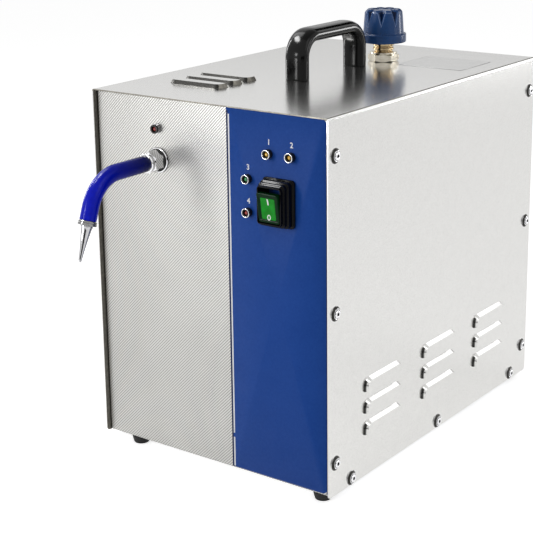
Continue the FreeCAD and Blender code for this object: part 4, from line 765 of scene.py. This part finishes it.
def onRocker(across, forward, rise):
    # Local place of the level rocker, turned by the tilt about its pivot: y' = y cos - z sin,
    # z' = y sin + z cos.
    y = forward * math.cos(tilt) - rise * math.sin(tilt)
    z = forward * math.sin(tilt) + rise * math.cos(tilt)
    return (np.stack([across, y, z], axis=-1) + rocker["pivot"]) * mm


def faceAt(rise, lift):
    # The dished face: deepest in the middle, dish * (1 - (rise / half height)^2) behind its ends.
    return -rocker["pivotBack"] + rocker["dish"] * (1 - (rise / rocker["halfHeight"]) ** 2) - lift


# Face and sides: rings that grow to the full size and then sink back; the last three close the back.
grow = np.concatenate([np.linspace(0, 0.93, 14), [0.97, 0.99, 1.0, 1.0, 1.0]])
sink = np.concatenate([np.zeros(14), [0.1, 0.35, 0.8, 1.6, 4.0]])
rings = roundedRings(rocker["halfWidth"] * grow, rocker["halfHeight"] * grow, rocker["corner"] * grow, 8)
forward = faceAt(rings[..., 1], -sink[:, None])
narrow, short = np.array([1, 1, 0]), np.array([0.7, 0.66, 0])
backRings = roundedRings(rocker["halfWidth"] * narrow, rocker["halfHeight"] * short,
                         rocker["corner"] * narrow, 8)
backForward = rocker["depth"] - rocker["pivotBack"] + np.array([[-0.6], [0], [0]])
rings = np.concatenate([rings, backRings])
forward = np.concatenate([forward, np.repeat(backForward, forward.shape[1], 1)])
addPiece("switchRocker", surface(onRocker(rings[..., 0], forward, rings[..., 1])), "rockerDark",
         "power_rocker", "rocker_green", ["switch_rocker"], 40)


def rockerMark(outer, inner, middleRise):
    # A flat ring or bar on the dished face: x = half width * sign(cos) |cos|^power, z alike with sin,
    # from just under the face to the mark's thickness.
    sunk, thick = -0.05, 0.16
    rows = np.array([(*outer, sunk), (*outer, thick), (*inner, thick), (*inner, sunk)])
    angle = anglesOf(40)
    x = rows[:, :1] * signedPower(np.cos(angle), rows[:, 2:3])
    z = rows[:, 1:2] * signedPower(np.sin(angle), rows[:, 2:3]) + middleRise
    return onRocker(x, faceAt(z, rows[:, 3:]), z)


# The green window lies on the face: rounded rings scaled down to its middle.
window = {"halfWidth": 7.6, "halfHeight": 9.9, "corner": 1.2, "thick": 0.08, "middle": -0.4}
shrink = np.array([1, 1, 0.98, 0.8, 0.6, 0.4, 0.2, 0])
rings = roundedRings(*(window[key] * shrink for key in ("halfWidth", "halfHeight", "corner")), 8)
lift = np.array([-0.05, 0.6, 1, 1, 1, 1, 1, 1])[:, None] * window["thick"]
rise = rings[..., 1] + window["middle"]
addPiece("rockerWindow", surface(onRocker(rings[..., 0], faceAt(rise, lift), rise)), "rockerGreen",
         "power_rocker", "rocker_green", (), 50)
# Bar and ring: outer and inner half width, half height and power, and the middle's height.
bar = surface(rockerMark((0.7, 3.1, 0.4), (0.0, 0.0, 1.0), 6.0))
ring = surface(rockerMark((1.9, 2.5, 1.0), (1.05, 1.65, 1.0), -8.4), True)
addPiece("rockerMarks", joined([bar, ring]), "printWhite", "power_rocker", "white_ptfe")
print("switch")

# Each side wall has three screws near either edge, and three along the bottom. The hexagon of a socket
# holds the points below the first of socketInside in radius and above the second in height.
screw = {"edge": 11.0, "heights": (40.0, 182.0, 324.0), "lowInset": 37.0, "lowHeight": 15.5, "sides": 48,
         "cup": [(2.3, 0), (7.0, 0), (7.0, 0.3), (4.9, 2.2), (4.3, 2.2), (4.3, 0.8), (2.3, 0.8)],
         "cupHigh": 2.2, "head": [(0, 1.8), (1.75, 1.8), (1.75, 3.25), (2.3, 3.35), (3.2, 3.15), (3.75, 2.6),
                                  (3.75, 0.8), (2.0, 0.8), (2.0, -8.0), (0, -8.0)],
         "socketFlats": 3.1, "socketInside": (1.8, 1.5), "socketMiddle": 2.15, "socketHalf": 0.43,
         "flankLean": (0.5, 0.85)}
coverLow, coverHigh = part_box("cover")
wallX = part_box("cup_washers")[1].x - screw["cupHigh"] * mm
edge, lowInset = screw["edge"] * mm, screw["lowInset"] * mm
screwPlaces = [(0, y, height * mm) for y in (coverLow.y + edge, coverHigh.y - edge)
               for height in screw["heights"]]
screwPlaces += [(0, y, screw["lowHeight"] * mm)
                for y in (coverLow.y + lowInset, (coverLow.y + coverHigh.y) / 2, coverHigh.y - lowInset)]
head = softened(screw["head"], 0.2, 3)
inSocket = (head[:, :1] < screw["socketInside"][0]) & (head[:, 1:] > screw["socketInside"][1])
socket = np.where(inSocket, hexagonLimit(screw["socketFlats"], screw["sides"]), np.inf)
cups, screws = [], []
for side in (-1, 1):
    wall, outward = (side * wallX, 0, 0), (side, 0, 0)
    cups.append(copiesOf(lathe(screw["cup"], 0.2, 3, wall, outward, screw["sides"]), screwPlaces))
    screws.append(copiesOf(surface(turned(head, wall, outward, screw["sides"], socket)), screwPlaces))


def cupFlanks(middles, normals):
    # The sloping faces round each cup.
    lean = np.abs(normals[:, 0])
    return (lean > screw["flankLean"][0]) & (lean < screw["flankLean"][1])


def socketFaces(middles, normals):
    # Faces that stand less than socketHalf from the middle of the socket's depth.
    away = np.abs(middles[:, 0]) - wallX - screw["socketMiddle"] * mm
    return np.abs(away) < screw["socketHalf"] * mm


cupPiece = addPiece("cupWashers", joined(cups), "brightPlate", "housing", "bright_plate", ["cup_washers"], 40)
# The sloping flanks of the cups are painted near black: painted dark reflection.
paintFaces(cupPiece, ["paintedShadeBlack"], cupFlanks)
screwPiece = addPiece("coverScrews", joined(screws), "brightPlate", "housing", "bright_plate",
                      ["cover_screws"], 40)
# The screw sockets are painted near black: painted shade in the recess.
paintFaces(screwPiece, ["paintedShadeBlack"], socketFaces)
print("screws")

rubberFoot = {"inset": 9.5, "profile": [(0, 4.2), (4.5, 4.2), (4.5, 0), (7.3, 0), (7.9, 1.4), (7.6, 1.9),
                                        (8.2, 2.5), (9.5, 8.0), (0, 8.0)]}
footLow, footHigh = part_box("feet")
inset = rubberFoot["inset"] * mm
footPlaces = [(x, y, 0) for x in (footLow.x + inset, footHigh.x - inset)
              for y in (footLow.y + inset, footHigh.y - inset)]
footShape = lathe(rubberFoot["profile"], 0.5, 4, (0, 0, 0), upward, 48, False)
addPiece("rubberFeet", copiesOf(footShape, footPlaces), "rubberBlack", "housing", "black_rubber", ["feet"])

# The first four say how far the normal leans: on a louvre's end, on upright and on level faces, and
# where a bend starts. The others are places and lengths, and last the colour of the painted shade by the
# walls.
coverMarks = {"louvreEnd": 0.55, "upright": 0.9, "level": 0.95, "bendStart": 0.1, "proud": 0.1 * mm,
              "insideX": 134.3 * mm, "bendX": 130 * mm, "topLouvreX": 125 * mm, "edgeTall": 2 * mm,
              "bendTall": 3 * mm, "fadeFrom": 2.4 * mm, "fadeTo": 1.4 * mm, "paintedWallShade": (0.03, 0.03, 0.028)}


def coverFinish(middles, normals):
    # Painted shade and dark reflection: 1, grey, on the inside of the side walls, the cut edge of the top,
    # the start of the bends and the ends of the louvres in the top; 2, black, on the other slopes of those; 3
    # on the end slopes in the walls, which darken into painted shade near the wall.
    marks = coverMarks
    x, y, z = middles.T
    across, along = np.abs(normals[:, :2]).T
    x = np.abs(x)
    inside = (x < marks["insideX"]) & (across > marks["upright"])
    cutEdge = (normals[:, 1] < -marks["upright"]) & (y < coverLow.y + mm) & (z > topZ - marks["edgeTall"])
    bend = (across > marks["bendStart"]) & (across < marks["louvreEnd"]) & (x > marks["bendX"])
    # The top of each bend is painted dark: painted shade.
    paintedBand = bend & (z > topZ - marks["bendTall"])
    topSlope = (z > topZ + marks["proud"]) & (x < marks["topLouvreX"]) & (normals[:, 2] < marks["level"])
    wallEnd = (x > wallX + marks["proud"]) & (along > marks["louvreEnd"])
    finish = np.where(topSlope, np.where(across > marks["louvreEnd"], 1, 2), inside | cutEdge | paintedBand)
    return np.where(wallEnd, 3, finish)


coverPiece = smoothCopy("cover", "coverSteel", "housing", "cover_steel")
paintFaces(coverPiece, ["paintedShadeGrey", "paintedShadeBlack", "slopeSteel"], coverFinish)
# The end slopes in the walls darken towards the wall: painted shade.
fadeAlong("slopeSteel", "X", wallX + coverMarks["fadeFrom"], wallX + coverMarks["fadeTo"],
          coverMarks["paintedWallShade"], True)
for node, finish, body, slotName in (("front_panel", "panelSteel", "housing", "panel_steel"),
                                     ("rear_panel", "coverSteel", "housing", "cover_steel"),
                                     ("base_pan", "zincSteel", "housing", "zinc_steel"),
                                     ("cord_glands", "glandBlack", "housing", "gland_black"),
                                     ("drain_valve", "neckBrass", "housing", "neck_brass"),
                                     ("drain_lever", "zincSteel", "drain_handle", "zinc_steel"),
                                     ("lever_grip", "capBlue", "drain_handle", "cap_blue")):
    smoothCopy(node, finish, body, slotName)
print("smooth copies")


def flatPlate(low, high, corner, thick, plane):
    # A thin plate with round corners: its outline at the foot, a slightly smaller one on top.
    middle = (np.asarray(low) + np.asarray(high)) / 2
    half = (np.asarray(high) - np.asarray(low)) / 2
    inset = np.array([0, 0, 0.25, 1]) * thick
    halfA, halfB = half[0] - inset, half[1] - inset
    halfA[-1] = halfB[-1] = 0
    cornerRadius = np.minimum(corner, np.maximum(np.minimum(halfA, halfB), 0))
    rings = roundedRings(halfA, halfB, cornerRadius, 5)
    rings = np.concatenate([np.zeros_like(rings[:1]), rings])
    lift = np.array([0, 0, 0.75, 1, 1])[:, None] * thick
    return surface(plane(middle[0] + rings[..., 0], middle[1] + rings[..., 1],
                         np.broadcast_to(lift, rings.shape[:2])))


def onPanel(x, z, lift):
    # A place on the front panel, lifted towards the front.
    return np.stack([x, panelFace - lift, z], axis=-1)


def onTop(x, y, lift):
    # A place on the cover's top, lifted upwards.
    return np.stack([x, y, topZ + lift], axis=-1)


film = {"corner": 6.0, "thick": 0.5, "squareWide": 12.0, "squareThick": 0.48, "right": 0.8, "top": 1.6}
overlayLow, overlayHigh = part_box("front_overlay")
filmStart = (overlayLow.x, overlayLow.z)
filmRight, filmTop = overlayHigh.x - film["right"] * mm, topZ - film["top"] * mm
# The film's left corners are square, so a narrow plate fills them.
sheets = [flatPlate(filmStart, (filmRight, filmTop), film["corner"] * mm, film["thick"] * mm, onPanel),
          flatPlate(filmStart, (overlayLow.x + film["squareWide"] * mm, filmTop), 0.2 * mm,
                    film["squareThick"] * mm, onPanel)]
addPiece("overlayFilm", joined(sheets), "overlayBlue", "housing", "overlay_blue", ["front_overlay"], 60)

# Places across the film in millimetres from its left edge, and up from its foot.
stripe = {"navy": (0.0, 2.0), "white": (2.0, 3.5), "whiteRuns": ((0.8, 30.0), (34.3, 340.0)), "edgeWide": 0.9,
          "navyTop": 5.0, "edgeTop": 8.0, "corner": 0.2, "thick": 0.06}


def printed(left, right, bottom, top):
    # A printed strip on the film's face.
    return flatPlate((left, bottom), (right, top), stripe["corner"] * mm, stripe["thick"] * mm,
                     lambda x, z, lift: np.stack([x, overlayFace - lift, z], axis=-1))


navyLeft, navyRight = (overlayLow.x + across * mm for across in stripe["navy"])
addPiece("navyStripe", printed(navyLeft, navyRight, overlayLow.z, topZ - stripe["navyTop"] * mm),
         "navyPrintAndShade", "housing", "overlay_blue")
# A dark strip along the film's right edge is painted shade of the gap by the side wall.
addPiece("paintedShadeEdge", printed(filmRight - stripe["edgeWide"] * mm, filmRight, overlayLow.z,
                             topZ - stripe["edgeTop"] * mm), "navyPrintAndShade", "housing", "overlay_blue")
whiteLeft, whiteRight = (overlayLow.x + across * mm for across in stripe["white"])
whites = [printed(whiteLeft, whiteRight, overlayLow.z + bottom * mm, overlayLow.z + top * mm)
          for bottom, top in stripe["whiteRuns"]]
addPiece("whiteStripe", joined(whites), "printWhite", "housing", "overlay_blue")

plate = {"low": (37.0, 115.7), "high": (111.0, 178.7), "border": 0.7, "borderThick": 0.1, "thick": 0.2,
         "corner": 2.0, "borderCorner": 2.5}
low, high, border = (np.array(plate[key]) * mm for key in ("low", "high", "border"))
addPiece("plateEdge", flatPlate(low - border, high + border, plate["borderCorner"] * mm,
                                plate["borderThick"] * mm, onTop), "plateBorder", "housing", "cover_steel")
addPiece("bareTopPlate", flatPlate(low, high, plate["corner"] * mm, plate["thick"] * mm, onTop), "plateSteel",
         "housing", "cover_steel")

numeral = {"size": 7.0, "rise": 10.2, "weight": 0.12, "thick": 0.05}
numerals = bmesh.new()
for count, (x, y, z) in enumerate(lampPlaces[:4]):
    text = bpy.data.curves.new("numeral", "FONT")
    text.body = str(count + 1)
    text.size = numeral["size"] * mm
    text.align_x = "CENTER"
    text.align_y = "CENTER"
    text.extrude = numeral["thick"] * mm
    text.offset = numeral["weight"] * mm
    written = bpy.data.objects.new("numeral", text)
    shape = bpy.data.meshes.new_from_object(written)
    place = Matrix.Translation((x, y - numeral["thick"] * mm, z + numeral["rise"] * mm))
    shape.transform(place @ Matrix.Rotation(math.pi / 2, 4, "X"))
    numerals.from_mesh(shape)
    bpy.data.objects.remove(written)
    bpy.data.meshes.remove(shape)
numeralMesh = bpy.data.meshes.new("lampNumerals")
numerals.to_mesh(numeralMesh)
numerals.free()
addMesh("lampNumerals", numeralMesh, "printWhite", "housing", "overlay_blue")
print("trim")


def whiteForView(tree, plain, viewed, target):
    # Camera, glossy and transmission rays meet one shader, all others the plain one.
    path = addNode(tree, "LightPath", {}).outputs
    seen = addMath(tree, "MAXIMUM", path["Is Camera Ray"],
                   addMath(tree, "MAXIMUM", path["Is Glossy Ray"], path["Is Transmission Ray"]))
    mix = addNode(tree, "MixShader", {0: seen, 1: plain.outputs[0], 2: viewed.outputs[0]})
    fillInputs(tree, target, {"Surface": mix.outputs[0]})


def stagePiece(name, materialName, corners, shaderInputs):
    # A flat sheet of the studio with a plain material of its own.
    mesh = bpy.data.meshes.new(name)
    mesh.from_pydata(corners, [], [(0, 1, 2, 3)])
    sheet = bpy.data.objects.new(name, mesh)
    scene.collection.objects.link(sheet)
    material = bpy.data.materials.new(materialName)
    material.use_nodes = True
    mesh.materials.append(material)
    fillInputs(material.node_tree, material.node_tree.nodes["Principled BSDF"],
               {"Specular IOR Level": 0.0, **shaderInputs})
    return sheet, material.node_tree


studio = {"floorSize": 12.0, "world": 0.36, "floorColour": (0.93, 0.93, 0.93, 1), "floorGlow": 0.64}
white = (1, 1, 1, 1)
square = np.array([[-1, -1, 0], [1, -1, 0], [1, 1, 0], [-1, 1, 0]])
floor, tree = stagePiece("floor", "floorPaper", (square * studio["floorSize"] / 2).tolist(),
                         {"Base Color": studio["floorColour"], "Roughness": 0.9})
paper = tree.nodes["Principled BSDF"]
glow = addNode(tree, "Emission", {"Strength": studio["floorGlow"]})
lifted = addNode(tree, "AddShader", {0: paper.outputs[0], 1: glow.outputs[0]})
whiteForView(tree, paper, lifted, tree.nodes["Material Output"])

world = bpy.data.worlds.new("studio")
scene.world = world
world.use_nodes = True
tree = world.node_tree
tree.nodes.clear()
plain = addNode(tree, "Background", {"Color": white, "Strength": studio["world"]})
whiteForView(tree, plain, addNode(tree, "Background", {"Color": white}), addNode(tree, "OutputWorld", {}))


def facing(place, target=(0, 0, 0.2)):
    # Turn whose -Z looks from the place to the target.
    return (Vector(target) - Vector(place)).to_track_quat("-Z", "Y").to_euler()


# Place, width, height, power, and whether diffuse and glossy rays meet the box.
softboxes = {
    "overheadLeft": ((-0.9, 0.2, 1.5), 0.5, 0.9, 5.0, True, True),
    "frontFill": ((-0.6, -1.9, 0.8), 1.0, 1.0, 14.0, True, False),
    "rightTop": ((1.25, -0.3, 1.35), 0.6, 1.2, 2.9, True, True),
    "louvreBox": ((0.54, 1.5, 1.12), 0.45, 0.75, 1.4, True, True),
    "lowStrip": ((-0.44, -1.0, 0.22), 0.17, 0.15, 1.2, False, True),
    "highStrip": ((-0.46, -1.0, 0.54), 0.17, 0.16, 1.5, False, True),
    "backStrip": ((0.66, 0.98, 0.36), 0.16, 0.2, 2.0, False, True),
    "switchBox": ((-0.65, -0.28, 1.3), 0.5, 0.2, 11.0, False, True),
    "rightSide": ((1.25, 0.55, 0.6), 0.4, 0.5, 2.5, False, True),
    "leftStrip": ((-1.4, -0.1, 0.8), 0.15, 0.9, 9.0, False, True),
}
for name, (place, wide, tall, power, diffuse, glossy) in softboxes.items():
    light = bpy.data.lights.new(name, "AREA")
    light.shape = "RECTANGLE"
    light.size = wide
    light.size_y = tall
    light.energy = power
    box = bpy.data.objects.new(name, light)
    box.location = place
    box.rotation_euler = facing(place)
    box.visible_diffuse = diffuse
    box.visible_glossy = glossy
    scene.collection.objects.link(box)

# Dark and grey cards give bright metal something to mirror; only reflections meet them. Each has its
# place, the point it faces, width, height and glow.
cards = {
    "cameraCard": ((1.25, -1.75, 0.3), (0, 0, 0.2), 2.2, 0.45, 0.0),
    "backCard": ((-0.14, 1.5, 1.35), (0, 0, 0.2), 0.82, 0.8, 0.0),
    "overCard": ((0.0, 0.2, 1.7), (0, 0, 0.2), 1.5, 1.5, 0.45),
    "horizonCard": ((-1.13, 1.9, 0.53), (0, 0, 0.4), 1.8, 0.42, 0.7),
}
cardBlack = (0.004, 0.004, 0.004, 1)
for name, (place, target, wide, tall, glow) in cards.items():
    card, tree = stagePiece(name, name, (square * [wide / 2, tall / 2, 0]).tolist(),
                            {"Base Color": cardBlack, "Emission Color": white, "Emission Strength": glow})
    card.data.transform(Matrix.Translation(place) @ facing(place, target).to_matrix().to_4x4())
    card.visible_camera = card.visible_diffuse = card.visible_shadow = False

# The lens is the focal length over the frame's height, both in dots, times the film's height.
view = {"at": (0.7923, -1.1332, 0.5962), "azimuth": 36.516, "pitch": 14.27, "roll": -0.753, "focal": 1425.3,
        "tall": 544.0, "film": 36.0, "shift": -0.151, "farthest": 30.0}
cameraData = bpy.data.cameras.new("camera")
cameraData.sensor_fit = "AUTO"
cameraData.sensor_width = view["film"]
cameraData.lens = view["focal"] * view["film"] / view["tall"]
cameraData.shift_y = view["shift"]
cameraData.clip_end = view["farthest"]
camera = bpy.data.objects.new("camera", cameraData)
azimuth, pitch, roll = (math.radians(view[key]) for key in ("azimuth", "pitch", "roll"))
# The camera looks along -Z of its own axes: stand it up, tip it down, turn it to its azimuth.
turn = Matrix.Rotation(azimuth, 4, "Z") @ Matrix.Rotation(math.pi / 2 - pitch, 4, "X")
camera.matrix_world = Matrix.Translation(view["at"]) @ turn @ Matrix.Rotation(roll, 4, "Z")
scene.collection.objects.link(camera)
scene.camera = camera
scene.view_settings.view_transform = "Standard"
print("studio")
